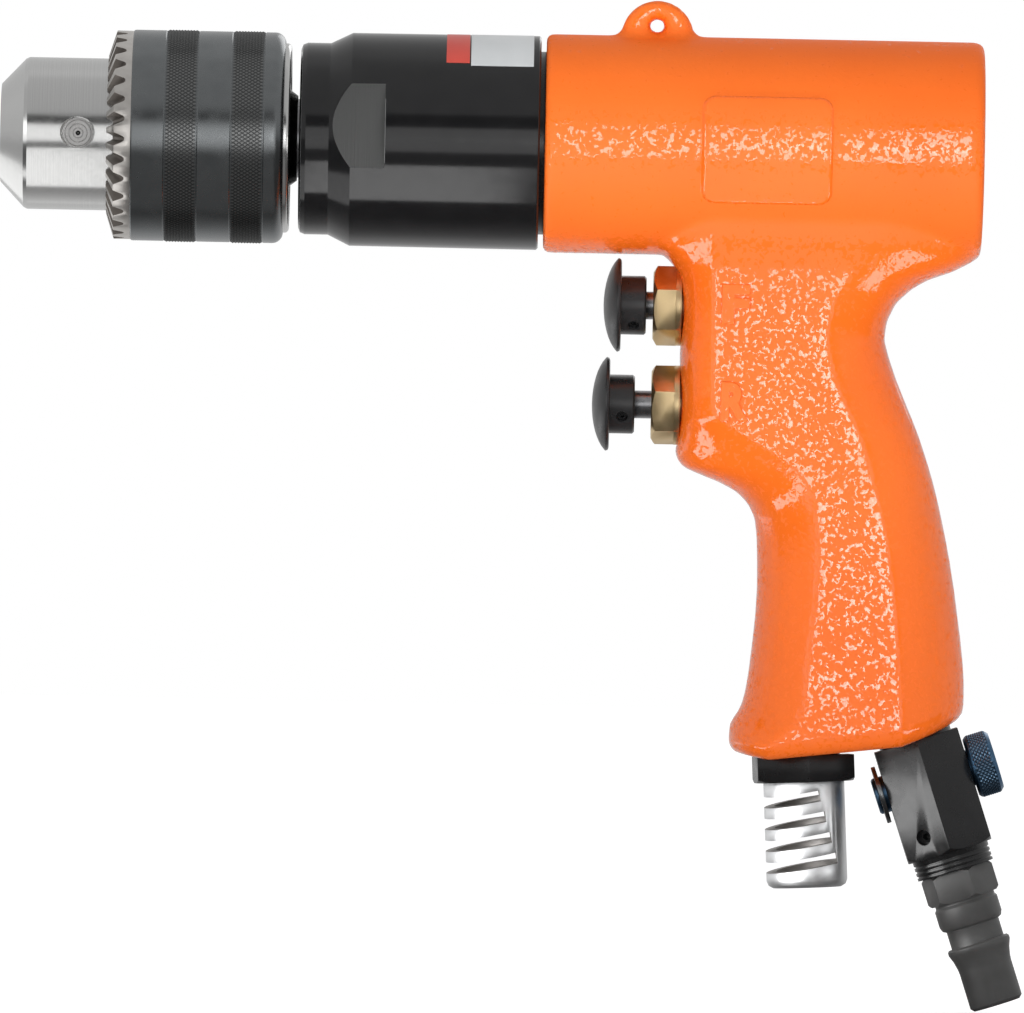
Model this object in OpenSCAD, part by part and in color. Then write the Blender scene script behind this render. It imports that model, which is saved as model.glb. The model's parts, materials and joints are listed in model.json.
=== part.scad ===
// Reversible pistol air drill with a keyed three-jaw chuck, as an assembly of named sub-parts.
// Frame: origin at the centre of the chuck's mouth, +X along the spindle towards the rear,
// +Z up, the grip towards -Z. Millimetres.

/* [Chuck] */
// Radius of the flat nose face
nose_face_r = 10.6; // [9.5:0.1:11.5]
// Length of the conical nose
nose_cone_len = 5.5; // [4.5:0.1:6.5]
// Radius of the body ahead of the sleeve
chuck_body_r = 16.4; // [16:0.1:16.9]
// Nose plane to the tips of the crown teeth
crown_x = 23; // [22.4:0.1:23.6]
// Length of the sleeve with its crown
sleeve_len = 37.7; // [37:0.1:39.4]
// Radius of the sleeve
sleeve_r = 22.75; // [22.5:0.05:23.5]
// Crown ring, from tooth tip to the dark sleeve
crown_len = 5.3; // [4.8:0.1:5.9]
// Teeth on the crown
crown_teeth = 32; // [30:1:34]
// Depth of the crown teeth
crown_depth = 2.1; // [1.6:0.1:2.4]
// Nose plane to the rear of the hub
chuck_len = 64; // [63:0.1:66]
// Radius of the hub at its small end
hub_r = 9.2; // [9:0.1:9.6]
// Radius of the mouth
mouth_r = 7; // [6.8:0.1:7.3]
// Radius of a key pilot hole
pilot_r = 3.25; // [3:0.05:3.4]
// Nose plane to the key pilot holes
pilot_x = 16.8; // [15.5:0.1:17.5]

/* [Jaws] */
// Radius of the round jaw bars
jaw_r = 4.2; // [4:0.05:4.3]
// Slope of the jaws to the spindle axis
jaw_angle = 14; // [13.5:0.1:14.5]
// Radius of the jaw axis at the nose plane
jaw_axis_r = 2.8; // [2.7:0.05:2.9]
// Radius that the jaws hold as drawn
grip_r = 3.5; // [3.3:0.05:3.7]
// Least radius that the jaws hold
grip_min_r = 1.25; // [1.1:0.05:1.4]
// Greatest radius that the jaws hold
grip_max_r = 6.5; // [6.3:0.05:6.5]
// Width of the split jaw nut
nut_w = 5; // [4.5:0.1:5.2]

/* [Gear case] */
// Gap between the chuck's hub and the gear case
chuck_gap = 0.5; // [0.4:0.1:0.8]
// Radius of the gear case
gear_r = 23; // [22.6:0.1:23.6]
// Step from the gear case down to its nose
gear_nose_step = 2.3; // [2:0.1:2.8]
// Length of the gear case nose
gear_nose_len = 6.4; // [6:0.1:8]
// Length of the cone behind the nose
gear_cone_len = 4.7; // [4:0.1:6]
// Depth of a spanner flat
flat_cut = 1.9; // [1.6:0.1:2.2]
// Length of the spanner flats from the nose
flat_len = 18.5; // [17:0.1:20]
// Length of the gear case
gear_len = 51.8; // [51.3:0.1:54]
// Neck that shows between gear case and housing
neck_gap = 1.1; // [0.8:0.1:1.6]
// Wall of the gear case around the threaded neck
gear_wall = 3.25; // [3:0.05:3.4]
// Radius of the spindle in its bearings
spindle_r = 8.5; // [8.3:0.1:8.8]

/* [Gears] */
// Wall of the ring gear outside its teeth
ring_wall = 2.11; // [1.9:0.01:2.4]
// Face width of the output planets
output_face = 8; // [7:0.1:8.2]
// Face width of the input planets
input_face = 7; // [6.5:0.1:7.2]
// Radius of a planet pin
pin_r = 2; // [1.8:0.1:2.2]

/* [Motor] */
// Wall of the barrel around the motor
barrel_wall = 4.65; // [4.4:0.05:4.8]
// Length of the motor cylinder
cylinder_len = 48; // [46:0.5:48.5]
// Thin side of the motor cylinder's wall
cylinder_wall = 2.25; // [2:0.05:2.5]
// Offset of the cylinder bore from the spindle axis
cylinder_offset = 1.5; // [1.3:0.05:1.55]
// Clearance of the rotor where it nears the cylinder
rotor_gap = 0.3; // [0.25:0.05:0.5]
// Thickness of a vane
vane_t = 2; // [1.8:0.1:2.2]

/* [Housing] */
// Radius of the barrel
barrel_r = 23.6; // [23.2:0.1:24.2]
// Length of the barrel
barrel_len = 94.6; // [94.2:0.1:98]
// Rounding of the barrel's rear edge
barrel_round = 2; // [1.5:0.1:3]
// Radius of the hanging lug
lug_r = 7.8; // [7.4:0.1:8.6]
// Half thickness of the hanging lug
lug_half_t = 4.5; // [4:0.1:5.5]
// Barrel front to the hole in the lug
lug_x = 23.9; // [22:0.1:26]
// Radius of the hole in the lug
lug_hole_r = 2; // [1.8:0.05:2.2]
// Height of the bare plate pad over the barrel
pad_h = 0.4; // [0.3:0.05:0.6]
// Width of the plate pad
pad_w = 26.6; // [24:0.1:28]
// Height of the plate pad
pad_z = 22.4; // [20:0.1:24]
// Extra half thickness of the grip
grip_extra = 0; // [-0.6:0.1:1]
// Rounding around the grip's bottom
grip_round = 3; // [2.5:0.1:3.5]

/* [Buttons] */
// Clearance between the barrel and the upper button
button_clear = 0.85; // [0.6:0.05:1.4]
// Clearance between the two buttons
button_apart = 1.1; // [0.9:0.1:2]
// Across flats of a brass valve cap
cap_af = 15; // [14:0.5:15.5]
// Length of a valve cap outside the housing
cap_len = 6.1; // [5.6:0.1:6.6]
// Radius of a valve stem
stem_r = 3; // [2.8:0.1:3.2]
// Radius of a button
button_r = 10.15; // [9.5:0.05:10.2]
// Thickness of a button's domed cap
button_t = 3.8; // [3.4:0.1:4.4]
// Radius of a button's hub
button_hub_r = 6.35; // [6:0.05:6.8]
// Length of a button's hub
button_hub_len = 5.4; // [5:0.1:6]
// Gap behind the forward button
forward_gap = 1.5; // [1.4:0.1:2]
// Gap behind the reverse button
reverse_gap = 3.6; // [3.5:0.1:4]

/* [Muffler] */
// Lean of the muffler towards the rear
muffler_lean = 3; // [2:0.5:4]
// Across flats of the muffler's nut
muffler_af = 21; // [20:0.5:22]
// Height of the muffler's nut
muffler_nut_len = 5.7; // [5:0.1:6.5]
// Radius of the muffler
muffler_r = 8.75; // [8.4:0.05:9.2]
// Length of the muffler below its nut
muffler_len = 22.8; // [21.5:0.1:24]
// Slots in the muffler
muffler_slots = 4; // [3:1:4]
// Height of a slot
slot_h = 2.3; // [1.8:0.1:2.6]
// Step from slot to slot
slot_pitch = 4.7; // [4.6:0.1:4.9]

/* [Inlet] */
// Lean of the inlet towards the rear
inlet_lean = 18.3; // [17.5:0.1:19]
// Across flats of the inlet body
inlet_af = 18.7; // [17.5:0.1:19]
// Length of the inlet hexagon below the grip
inlet_hex_len = 25.2; // [24.4:0.1:27]
// Radius of the inlet's round collar
collar_r = 8.45; // [8:0.05:8.7]
// Length of the inlet's round collar
collar_len = 4.2; // [3.6:0.1:5]
// Radius of the regulator knob
regulator_r = 6.75; // [6.2:0.05:7]
// Thickness of the regulator knob
regulator_t = 5.6; // [5:0.1:6.2]
// Grip bottom to the regulator axis
regulator_drop = 9.2; // [8.8:0.1:10]
// Radius of the regulator spool
spool_r = 4; // [3.8:0.05:4.2]
// Across flats of the plug's hexagon
plug_af = 14; // [13.5:0.5:15]
// Length of the plug's hexagon
plug_hex_len = 6.4; // [5.8:0.1:7]
// Radius of the plug's locking flange
plug_flange_r = 6.9; // [6.7:0.05:7.1]
// Radius of the plug's nose
plug_nose_r = 5.8; // [5.6:0.05:5.9]
// Length of the plug from its flange to its tip
plug_nose_len = 14.1; // [13.4:0.1:15]
// Radius of the plug's air way
plug_bore_r = 3.75; // [3.4:0.05:4]

/* [Fits] */
// Radial clearance of running and screwed fits
fit = 0.05; // [0.04:0.01:0.08]
// Free gap between parts that move past each other
free_gap = 0.4; // [0.35:0.05:0.6]
// Backlash of the gears
backlash = 0.16; // [0.14:0.01:0.2]

/* [Hidden] */
$fn = 96;

// Chuck
tan_jaw = tan(jaw_angle);
jaw_reach = jaw_r / cos(jaw_angle);
nut_x = crown_x + 3.1;
nut_end_x = nut_x + nut_w;
nut_r = chuck_body_r + 2.2;
close_x = (grip_r - grip_min_r) / tan_jaw;
open_x = (grip_max_r - grip_r) / tan_jaw;
jaw_tail_x = nut_end_x + close_x + 0.4;
flange_x = jaw_tail_x + open_x + jaw_r * sin(jaw_angle) + 0.8;
sleeve_end_x = crown_x + sleeve_len;
sleeve_bore_r = jaw_axis_r + (jaw_tail_x + open_x) * tan_jaw + jaw_reach + 0.3;
body_rear_r = 15;
groove_r = 12;
mouth_len = 36;
spindle_stub_x = 47.5;
stub_r = 4.76;

// Gear case stack
gear_x = chuck_len + chuck_gap;
gear_nose_r = gear_r - gear_nose_step;
flat_dist = gear_r - flat_cut;
neck_r = min(gear_r, barrel_r - 0.6) - gear_wall;
seal_x = gear_x + 2;
seal_w = 2.4;
bearing_w = 10;
bearing_1_x = seal_x + seal_w + 0.1;
bearing_gap = 3;
bearing_2_x = bearing_1_x + bearing_w + bearing_gap;
bearing_end_x = bearing_2_x + bearing_w;
spindle_bearing_r = gear_nose_r - 3.2;
spindle_race_r = (spindle_r + spindle_bearing_r) / 2;
spindle_ball_r = (spindle_bearing_r - spindle_r) / 3;
spindle_lip = spindle_ball_r * 2 / 3;
gear_end_x = gear_x + gear_len;
housing_x = gear_end_x + neck_gap;
neck_len = 13.6;
neck_end_x = housing_x + neck_len;

// Gears
sun_z = 12;
planet_z = 15;
ring_z = 42;
gear_m = (neck_r - ring_wall) / (ring_z / 2 + 1.05);
orbit_r = gear_m * (sun_z + planet_z) / 2;
tip_h = 0.8 * gear_m;
root_h = 1.05 * gear_m;
pressure = 25;
carrier_x = bearing_end_x + 0.5;
carrier_t = 3.2;
carrier_r = gear_m * ring_z / 2 - tip_h - 0.7;
ring_x = carrier_x + carrier_t + 0.2;
output_x = ring_x + 0.2;
plate_x = output_x + output_face + free_gap;
plate_t = 2.6;
input_x = plate_x + plate_t + 0.3;
ring_end_x = input_x + input_face + 0.6;
ring_bore_r = gear_m * ring_z / 2 + root_h + 0.1;

// Motor stack
motor_r = barrel_r - barrel_wall;
cylinder_bore_r = motor_r - cylinder_offset - cylinder_wall;
rotor_r = cylinder_bore_r - cylinder_offset - rotor_gap;
front_x = neck_end_x;
front_t = 11;
cylinder_x = front_x + front_t;
rear_x = cylinder_x + cylinder_len;
rear_t = 11;
gasket_x = rear_x + rear_t;
gasket_t = 1;
bore_end_x = gasket_x + gasket_t;
rotor_bearing_r = motor_r * 280 / 379;
rotor_bearing_t = 8;
shaft_r = rotor_bearing_r - rotor_bearing_t;
shoulder_r = shaft_r + 1.4;
race_r = (shaft_r + rotor_bearing_r) / 2;
ball_r = 0.2975 * (rotor_bearing_r - shaft_r);
race_lip = 0.2 * (rotor_bearing_r - shaft_r);
rotor_bearing_w = 8;
front_bearing_x = front_x + 0.4;
rear_bearing_x = rear_x + rear_t - rotor_bearing_w - 0.3;
shaft_end_x = rear_bearing_x + rotor_bearing_w + 0.2;
barrel_end_x = housing_x + barrel_len;

// Valves
valve_face_x = housing_x + 30.2;
cap_x = valve_face_x - cap_len;
cap_corner_r = cap_af / 2 / cos(30);
forward_z = -barrel_r - button_clear - button_r;
reverse_z = forward_z - 2 * button_r - button_apart;
shank_r = 6;
grub_r = 1.25;
shank_len = 7;
chamber_r = 5.5;
seat_x = valve_face_x + 10.4;
seat_len = 4.2;
poppet_x = seat_x + seat_len + 1.4;
poppet_t = 3;
forward_end_x = valve_face_x + 28.6;
reverse_end_x = valve_face_x + 36.4;
forward_hub_x = cap_x - forward_gap;
reverse_hub_x = cap_x - reverse_gap;

// Grip outlines as depth below the axis against distance behind the barrel's front
grip_front = [[12, 22.6], [21, 23.4], [25, 27.6], [29, 29.6], [40, 30.1], [60, 29.9],
    [66, 29.4], [69.4, 31.4], [72, 38.2], [76, 44.8], [82, 47.3], [95, 47.7], [110, 46.6],
    [118, 45.5], [121.6, 44.3], [124.4, 42.5], [128, 42.2]];
grip_rear = [[12, 94.2], [22, 94.4], [25, 91], [28.4, 82.4], [33, 76.6], [40, 74.1], [47, 76],
    [63, 82.5], [76, 86.5], [97, 90.7], [117, 92.9], [128, 92.9]];
panel_front = [[12, 36.6], [58, 37.2], [63, 45], [69, 55.8], [76, 59.8], [89, 60.9], [113, 58.8],
    [120, 58.2], [128, 51]];
panel_rear = [[12, 76], [24, 70], [33, 62.8], [40, 61.4], [48, 62.6], [63, 69.2], [84, 75.4],
    [115, 79], [128, 79.6]];
grip_half = [[12, 0.763 * barrel_r], [21, 0.703 * barrel_r], [27, 15.4], [36, 15], [62, 15],
    [78, 15.7], [96, 16.1],    [114, 16.4], [128, 17.2]];
grip_blunt = [[12, 2.7], [66, 2.7], [78, 2.05], [128, 2.05]];
grip_depths = [12, 17, 20, 22, 24, 26, 28, 30, 33, 37, 41, 45, 50, 55, 59, 62, 64.5, 66.5, 68,
    69.4, 70.8, 72.4, 74.4, 77, 80, 84, 89, 95, 101, 107, 113, 117, 119.5, 121.5, 123, 124.5,
    126, 128];
grip_tilt = 0.16;
grip_lower = -forward_z - 34.6;
knuckle_lower = 2 * button_r + button_apart - 21.4;
grip_drop = grip_lower + knuckle_lower;
grip_sag = 4.4;
grip_crease = 0.3;
arc_steps = 8;

// Muffler and inlet places
muffler_x = housing_x + 58.4;
muffler_z = -131.1 - grip_drop;
inlet_x = housing_x + 82.65;
inlet_z = -127.3 - grip_drop;
inlet_corner_r = inlet_af / 2 / cos(30);
plug_corner_r = plug_af / 2 / cos(30);
muffler_corner_r = muffler_af / 2 / cos(30);
thread_r = 8;
thread_len = 11;
regulator_far = inlet_af / 2 + 0.35;
plug_x = inlet_hex_len + collar_len;

// Turns a list of [radius, x] points about the spindle axis.
module turned(points) rotate([0, 90, 0]) rotate_extrude() polygon(points);

// A plain cylinder along the spindle axis.
module rod(x, len, r) translate([x, 0, 0]) rotate([0, 90, 0]) cylinder(r = r, h = len);

// A ring along the spindle axis.
module tube(x, len, r_out, r_in) {
    turned([[r_in, x], [r_out, x], [r_out, x + len], [r_in, x + len]]);
}

function involute(a) = tan(a) * 180 / PI - a;
function flank(r, rp, half) = let (rb = rp * cos(pressure))
    half + involute(pressure) - involute(acos(min(1, rb / r)));
function polar(r, a) = [r * cos(a), r * sin(a)];

// Outline of a gear whose tooth 0 points along local x.
function gear_points(z, tip, root, slack) =
    let (rp = gear_m * z / 2, rb = rp * cos(pressure), half = 90 / z - slack / rp * 90 / PI,
        r0 = rp - root, r1 = rp + tip, low = max(r0, rb),
        up = [for (i = [0 : 4]) low + (r1 - low) * i / 4],
        rim = low > r0 ? [r0] : [])
    [for (k = [0 : z - 1]) let (c = 360 / z * k)
        each concat([for (r = rim) polar(r, c - flank(low, rp, half))],
            [for (r = up) polar(r, c - flank(r, rp, half))],
            [for (i = [4 : -1 : 0]) polar(up[i], c + flank(up[i], rp, half))],
            [for (r = rim) polar(r, c + flank(low, rp, half))])];

module gear(z, x, len, bore, turn) {
    translate([x, 0, 0]) rotate([0, 90, 0]) rotate([0, 0, turn]) difference() {
        linear_extrude(height = len) polygon(gear_points(z, tip_h, root_h, backlash));
        translate([0, 0, -1]) cylinder(r = bore, h = len + 2);
    }
}

// Smooth curve through [depth, value] points that never overshoots them.
function span_of(t, v, i = 0) = (i >= len(t) - 2 || v <= t[i + 1][0]) ? i : span_of(t, v, i + 1);
function grade(t, i) = (t[i + 1][1] - t[i][1]) / (t[i + 1][0] - t[i][0]);
function bend(t, i) = i == 0 ? grade(t, 0)
    : i == len(t) - 1 ? grade(t, i - 1)
    : let (a = grade(t, i - 1), b = grade(t, i)) a * b <= 0 ? 0 : 2 * a * b / (a + b);
function curve(t, v) = let (i = span_of(t, v), h = t[i + 1][0] - t[i][0],
        u = (v - t[i][0]) / h, a = t[i][1], b = t[i + 1][1])
    a * (1 + 2 * u) * (1 - u) * (1 - u) + b * u * u * (3 - 2 * u)
    + h * u * (1 - u) * (bend(t, i) * (1 - u) - bend(t, i + 1) * u);
function ease(v) = let (u = max(0, min(1, v))) u * u * (3 - 2 * u);

// How far a depth of the grip moves down with the barrel and the buttons.
function lowered(d) = grip_lower * ease((d - 12) / 14) + knuckle_lower * ease((d - 40) / 16);

// One closed ring of the grip at a depth, drawn in and lowered by the bottom rounding.
function half_width(t, w, q) = w * pow(max(0, 1 - grip_crease * t - (1 - grip_crease) * t * t), 1 / q);
function grip_side(d, inset, drop) =
    let (lean = grip_tilt * ease((d - 96) / 32), sag = grip_sag * ease((d - 96) / 32),
        dr = d - lean * 48, q = curve(grip_blunt, d), w = curve(grip_half, d) + grip_extra - inset,
        xf = curve(grip_front, d) + inset, xr = curve(grip_rear, dr) - inset,
        xa = curve(panel_front, d), xb = curve(panel_rear, dr))
    [for (j = [0 : 2 * arc_steps + 1])
        let (front = j <= arc_steps, s = (front ? j : 2 * arc_steps + 1 - j) / arc_steps,
            t = 1 - s * s, x = front ? xa - (xa - xf) * t : xb + (xr - xb) * t,
            u = (x - xf) / (xr - xf))
        [housing_x + x, half_width(t, w, q),
            -d - drop - lowered(d) + lean * (x - xf) - sag * 4 * u * (1 - u)]];
function grip_ring(d, inset, drop) = let (s = grip_side(d, inset, drop), n = len(s))
    concat([for (p = s) [p[0], -p[1], p[2]]], [for (i = [n - 2 : -1 : 1]) s[i]]);

module grip_body() {
    last = grip_depths[len(grip_depths) - 1];
    rings = concat([for (d = grip_depths) grip_ring(d, 0, 0)],
        [for (a = [30, 60, 90]) grip_ring(last, grip_round * (1 - cos(a)), grip_round * sin(a))]);
    n = len(rings[0]);
    h = n / 2;
    m = len(rings) - 1;
    walls = [for (k = [0 : m - 1]) for (i = [0 : n - 1]) let (a = k * n + i, b = k * n + (i + 1) % n)
        each [[a, b, a + n], [b, b + n, a + n]]];
    lid = [for (i = [0 : h - 1]) let (p = i, q = i + 1, r = (n - q) % n, s = (n - p) % n)
        each concat(p == s ? [] : [[p, s, q]], q == r ? [] : [[s, r, q]])];
    floor_lid = [for (f = lid) [f[0] + m * n, f[2] + m * n, f[1] + m * n]];
    polyhedron(points = [for (ring = rings) each ring], faces = concat(walls, lid, floor_lid));
}

// Rear-edge profile of the barrel with a true rounding made of short cones.
function round_edge(r, x, f) = [for (a = [0 : 18 : 90]) [r - f + f * cos(a), x - f + f * sin(a)]];

module lug() {
    z = barrel_r - 0.2;
    translate([housing_x + lug_x, 0, z]) rotate([90, 0, 0]) {
        translate([0, 0, -lug_half_t + 1.2]) cylinder(r = lug_r, h = 2 * lug_half_t - 2.4);
        translate([0, 0, lug_half_t - 1.2]) cylinder(r1 = lug_r, r2 = lug_r - 1.2, h = 1.2);
        translate([0, 0, -lug_half_t]) cylinder(r1 = lug_r - 1.2, r2 = lug_r, h = 1.2);
        translate([0, 0, -lug_half_t + 1.2]) linear_extrude(height = 2 * lug_half_t - 2.4) difference() {
            translate([-lug_r - 1.8, -4]) square([2 * lug_r + 3.6, 6.4]);
            for (s = [-1, 1]) translate([s * (lug_r + 1.8), 2.4]) circle(r = 2.2);
        }
    }
}

module plate_pad() {
    r = 2.6;
    x0 = housing_x + 35;
    z0 = -pad_z / 2 - 0.5;
    intersection() {
        tube(x0, pad_w, barrel_r + pad_h, barrel_r - 2);
        translate([x0, 8 - barrel_r, z0]) rotate([90, 0, 0]) linear_extrude(height = 16)
            union() {
                translate([r, 0]) square([pad_w - 2 * r, pad_z]);
                translate([0, r]) square([pad_w, pad_z - 2 * r]);
                for (i = [r, pad_w - r], j = [r, pad_z - r]) translate([i, j]) circle(r = r);
            }
    }
}

module inlet_frame() translate([inlet_x, 0, inlet_z]) rotate([0, 180 - inlet_lean, 0]) children();
module muffler_frame() translate([muffler_x, 0, muffler_z]) rotate([0, 180 - muffler_lean, 0]) children();

module housing() color([0.93, 0.42, 0.10]) difference() {
    union() {
        turned(concat([[0, housing_x], [barrel_r, housing_x]],
            round_edge(barrel_r, barrel_end_x, barrel_round), [[0, barrel_end_x + 0.3]]));
        grip_body();
        lug();
        plate_pad();
    }
    rod(housing_x - 1, neck_len + 1, neck_r + fit);
    rod(neck_end_x - 0.5, bore_end_x - neck_end_x + 0.5, motor_r + fit);
    translate([housing_x + lug_x, 20, barrel_r + lug_hole_r + 0.2]) rotate([90, 0, 0])
        cylinder(r = lug_hole_r, h = 40);
    valve_bore(forward_z, forward_end_x);
    valve_bore(reverse_z, reverse_end_x);
    // inlet seat and the air way up to both valves
    inlet_frame() {
        translate([0, 0, -thread_len - 0.5]) cylinder(r = thread_r + fit, h = thread_len + 30);
        translate([0, 0, -98]) cylinder(r = 4, h = 98);
        translate([0, 0, 0]) cylinder(r = inlet_corner_r + free_gap, h = 30);
    }
    // muffler seat and the exhaust way round the valves
    muffler_frame() {
        translate([0, 0, -50]) cylinder(r = 5.5, h = 60);
        translate([0, 0, -thread_len - 0.5]) cylinder(r = thread_r + fit, h = thread_len + 10);
        translate([0, 0, 0]) cylinder(r = muffler_corner_r + free_gap, h = 10);
    }
    translate([muffler_x - 2.5, 10, -83 - grip_drop]) rotate([90, 0, 0]) cylinder(r = 2.5, h = 20);
    for (y = [-9.6, 9.6]) translate([muffler_x - 2.5, y, -83 - grip_drop]) cylinder(r = 2.5, h = 70);
}

module valve_bore(z, end_x) translate([0, 0, z]) {
    rod(valve_face_x - 8, 8, cap_corner_r + 0.2);
    rod(valve_face_x - 1, shank_len + 1.4, shank_r + fit);
    rod(valve_face_x, end_x - valve_face_x, chamber_r + fit);
}

module gear_case() color([0.10, 0.10, 0.11]) difference() {
    turned(concat([[hub_r + free_gap, gear_x], [gear_nose_r - 1.4, gear_x],
        [gear_nose_r - 0.4, gear_x + 0.4], [gear_nose_r, gear_x + 1.4],
        [gear_nose_r, gear_x + gear_nose_len],
        [gear_r, gear_x + gear_nose_len + gear_cone_len], [gear_r + 0.1, gear_end_x - 0.4],
        [gear_r - 0.3, gear_end_x], [neck_r, gear_end_x], [neck_r, bearing_end_x],
        [spindle_bearing_r, bearing_end_x], [spindle_bearing_r, bearing_1_x],
        [spindle_r + 4, bearing_1_x], [spindle_r + 4, seal_x], [hub_r + free_gap, seal_x]]));
    for (a = [0, 180]) rotate([a - 7, 0, 0])
        translate([gear_x - 1, -flat_dist - 10, -20]) cube([flat_len + 1, 10, 40]);
}

module ring_gear() color([0.16, 0.16, 0.17]) difference() {
    rod(bearing_end_x, neck_end_x - bearing_end_x, neck_r);
    rod(bearing_end_x - 1, ring_x - bearing_end_x + 1, carrier_r + 1);
    translate([ring_x - 0.5, 0, 0]) rotate([0, 90, 0]) linear_extrude(height = ring_end_x - ring_x + 0.6)
        polygon(gear_points(ring_z, root_h, tip_h, -backlash));
    rod(ring_end_x, neck_end_x - ring_end_x + 1, ring_bore_r);
}

module gear_spacer() color([0.55, 0.55, 0.57]) {
    turned([[7, ring_end_x], [ring_bore_r - fit, ring_end_x], [ring_bore_r - fit, neck_end_x],
        [ring_bore_r - 2.94, neck_end_x], [ring_bore_r - 2.94, ring_end_x + 1.2],
        [7, ring_end_x + 1.2]]);
}

module spindle_seal() color([0.06, 0.06, 0.06])
    tube(seal_x, seal_w, spindle_r + 4, spindle_r + free_gap);

// Half a ball bearing's pair of rings: the ring between two radii, with its ball groove.
module race(x, w, r_out, r_in, pitch, ball) rotate([0, 90, 0]) rotate_extrude() difference() {
    translate([r_in, x]) square([r_out - r_in, w]);
    translate([pitch, x + w / 2]) circle(r = ball + 0.06);
}

module ball_set(x, w, pitch, ball, count) for (k = [0 : count - 1]) rotate([360 / count * k, 0, 0])
    translate([x + w / 2, pitch, 0]) sphere(r = ball);

module spindle_bearing_outers() color([0.7, 0.7, 0.72]) for (x = [bearing_1_x, bearing_2_x])
    race(x, bearing_w, spindle_bearing_r, spindle_race_r + spindle_lip, spindle_race_r, spindle_ball_r);

module spindle_bearing_inners() color([0.7, 0.7, 0.72]) for (x = [bearing_1_x, bearing_2_x])
    race(x, bearing_w, spindle_race_r - spindle_lip, spindle_r, spindle_race_r, spindle_ball_r);

module spindle_bearing_balls() color([0.8, 0.8, 0.82]) for (x = [bearing_1_x, bearing_2_x])
    ball_set(x, bearing_w, spindle_race_r, spindle_ball_r, 9);

module bearing_spacer() color([0.5, 0.5, 0.52])
    tube(bearing_1_x + bearing_w, bearing_gap, spindle_bearing_r, spindle_race_r + 1.2 * spindle_lip);

module spindle() color([0.62, 0.62, 0.64]) difference() {
    turned([[0, spindle_stub_x], [stub_r - 0.6, spindle_stub_x], [stub_r, spindle_stub_x + 0.6],
        [stub_r, chuck_len], [spindle_r, chuck_len], [spindle_r, bearing_end_x],
        [spindle_race_r - 1.1 * spindle_lip, bearing_end_x],
        [spindle_race_r - 1.1 * spindle_lip, carrier_x], [carrier_r, carrier_x],
        [carrier_r, carrier_x + carrier_t], [0, carrier_x + carrier_t]]);
    rod(spindle_stub_x - 1, 15, 2.5 + fit);
    for (k = [0 : 2]) rotate([120 * k, 0, 0]) translate([0, 0, -orbit_r]) rod(carrier_x - 1, 5, pin_r);
}

module pin_set(x, len) for (k = [0 : 2]) rotate([120 * k, 0, 0]) translate([0, 0, -orbit_r])
    rod(x, len, pin_r);

module output_pins() color([0.75, 0.75, 0.77]) pin_set(carrier_x, carrier_t + output_face + 0.4);

module planet(k, x, len) color([0.66, 0.62, 0.50]) rotate([120 * k, 0, 0]) translate([0, 0, -orbit_r])
    gear(planet_z, x, len, pin_r + fit, 180 - 180 / planet_z);

module output_planet_1() planet(0, output_x, output_face);
module output_planet_2() planet(1, output_x, output_face);
module output_planet_3() planet(2, output_x, output_face);
module input_planet_1() planet(0, input_x, input_face);
module input_planet_2() planet(1, input_x, input_face);
module input_planet_3() planet(2, input_x, input_face);

module input_carrier() color([0.60, 0.60, 0.62]) difference() {
    union() {
        gear(sun_z, output_x, plate_x - output_x + 0.5, 1.2, 0);
        rod(plate_x, plate_t, carrier_r);
    }
    rod(output_x - 1, 30, 1.2);
    for (k = [0 : 2]) rotate([120 * k, 0, 0]) translate([0, 0, -orbit_r]) rod(plate_x - 1, 5, pin_r);
}

module input_pins() color([0.75, 0.75, 0.77]) pin_set(plate_x, plate_t + input_face + 0.4);

module rotor() color([0.58, 0.58, 0.60]) difference() {
    union() {
        gear(sun_z, input_x, ring_end_x - input_x, 1, 0);
        turned([[0, ring_end_x - 0.4], [4.6, ring_end_x - 0.4], [4.6, front_bearing_x - 1],
            [shaft_r, front_bearing_x], [shaft_r, front_bearing_x + rotor_bearing_w],
            [shoulder_r, front_bearing_x + rotor_bearing_w], [shoulder_r, cylinder_x + 0.3],
            [rotor_r, cylinder_x + 0.3], [rotor_r, rear_x - 0.3], [shoulder_r, rear_x - 0.3],
            [shoulder_r, rear_bearing_x], [shaft_r, rear_bearing_x], [shaft_r, shaft_end_x],
            [0, shaft_end_x]]);
    }
    for (k = [0 : 4]) rotate([72 * k, 0, 0]) translate([cylinder_x, 5.8, -vane_t / 2 - fit])
        cube([cylinder_len, 10, vane_t + 2 * fit]);
}

module vanes() color([0.45, 0.33, 0.22]) for (k = [0 : 4]) rotate([72 * k, 0, 0])
    translate([cylinder_x + 0.4, 5.8, -vane_t / 2]) cube([cylinder_len - 0.8, rotor_r - 5.9, vane_t]);

module rotor_races(r_out, r_in) for (x = [front_bearing_x, rear_bearing_x])
    race(x, rotor_bearing_w, r_out, r_in, race_r, ball_r);

module rotor_bearing_inners() color([0.7, 0.7, 0.72]) rotor_races(race_r - race_lip, shaft_r);
module rotor_bearing_outers() color([0.7, 0.7, 0.72]) rotor_races(rotor_bearing_r, race_r + race_lip);
module rotor_bearing_balls() color([0.8, 0.8, 0.82]) for (x = [front_bearing_x, rear_bearing_x])
    ball_set(x, rotor_bearing_w, race_r, ball_r, 8);

module motor_cylinder() color([0.52, 0.52, 0.54]) difference() {
    rod(cylinder_x, cylinder_len, motor_r);
    translate([0, 0, cylinder_offset]) rod(cylinder_x - 1, cylinder_len + 2, cylinder_bore_r);
    for (i = [-2 : 2], a = [-24, 24]) rotate([a, 0, 0])
        translate([cylinder_x + cylinder_len / 2 + 8 * i, 0, -motor_r - 5.05]) cylinder(r = 2, h = 14);
}

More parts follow.
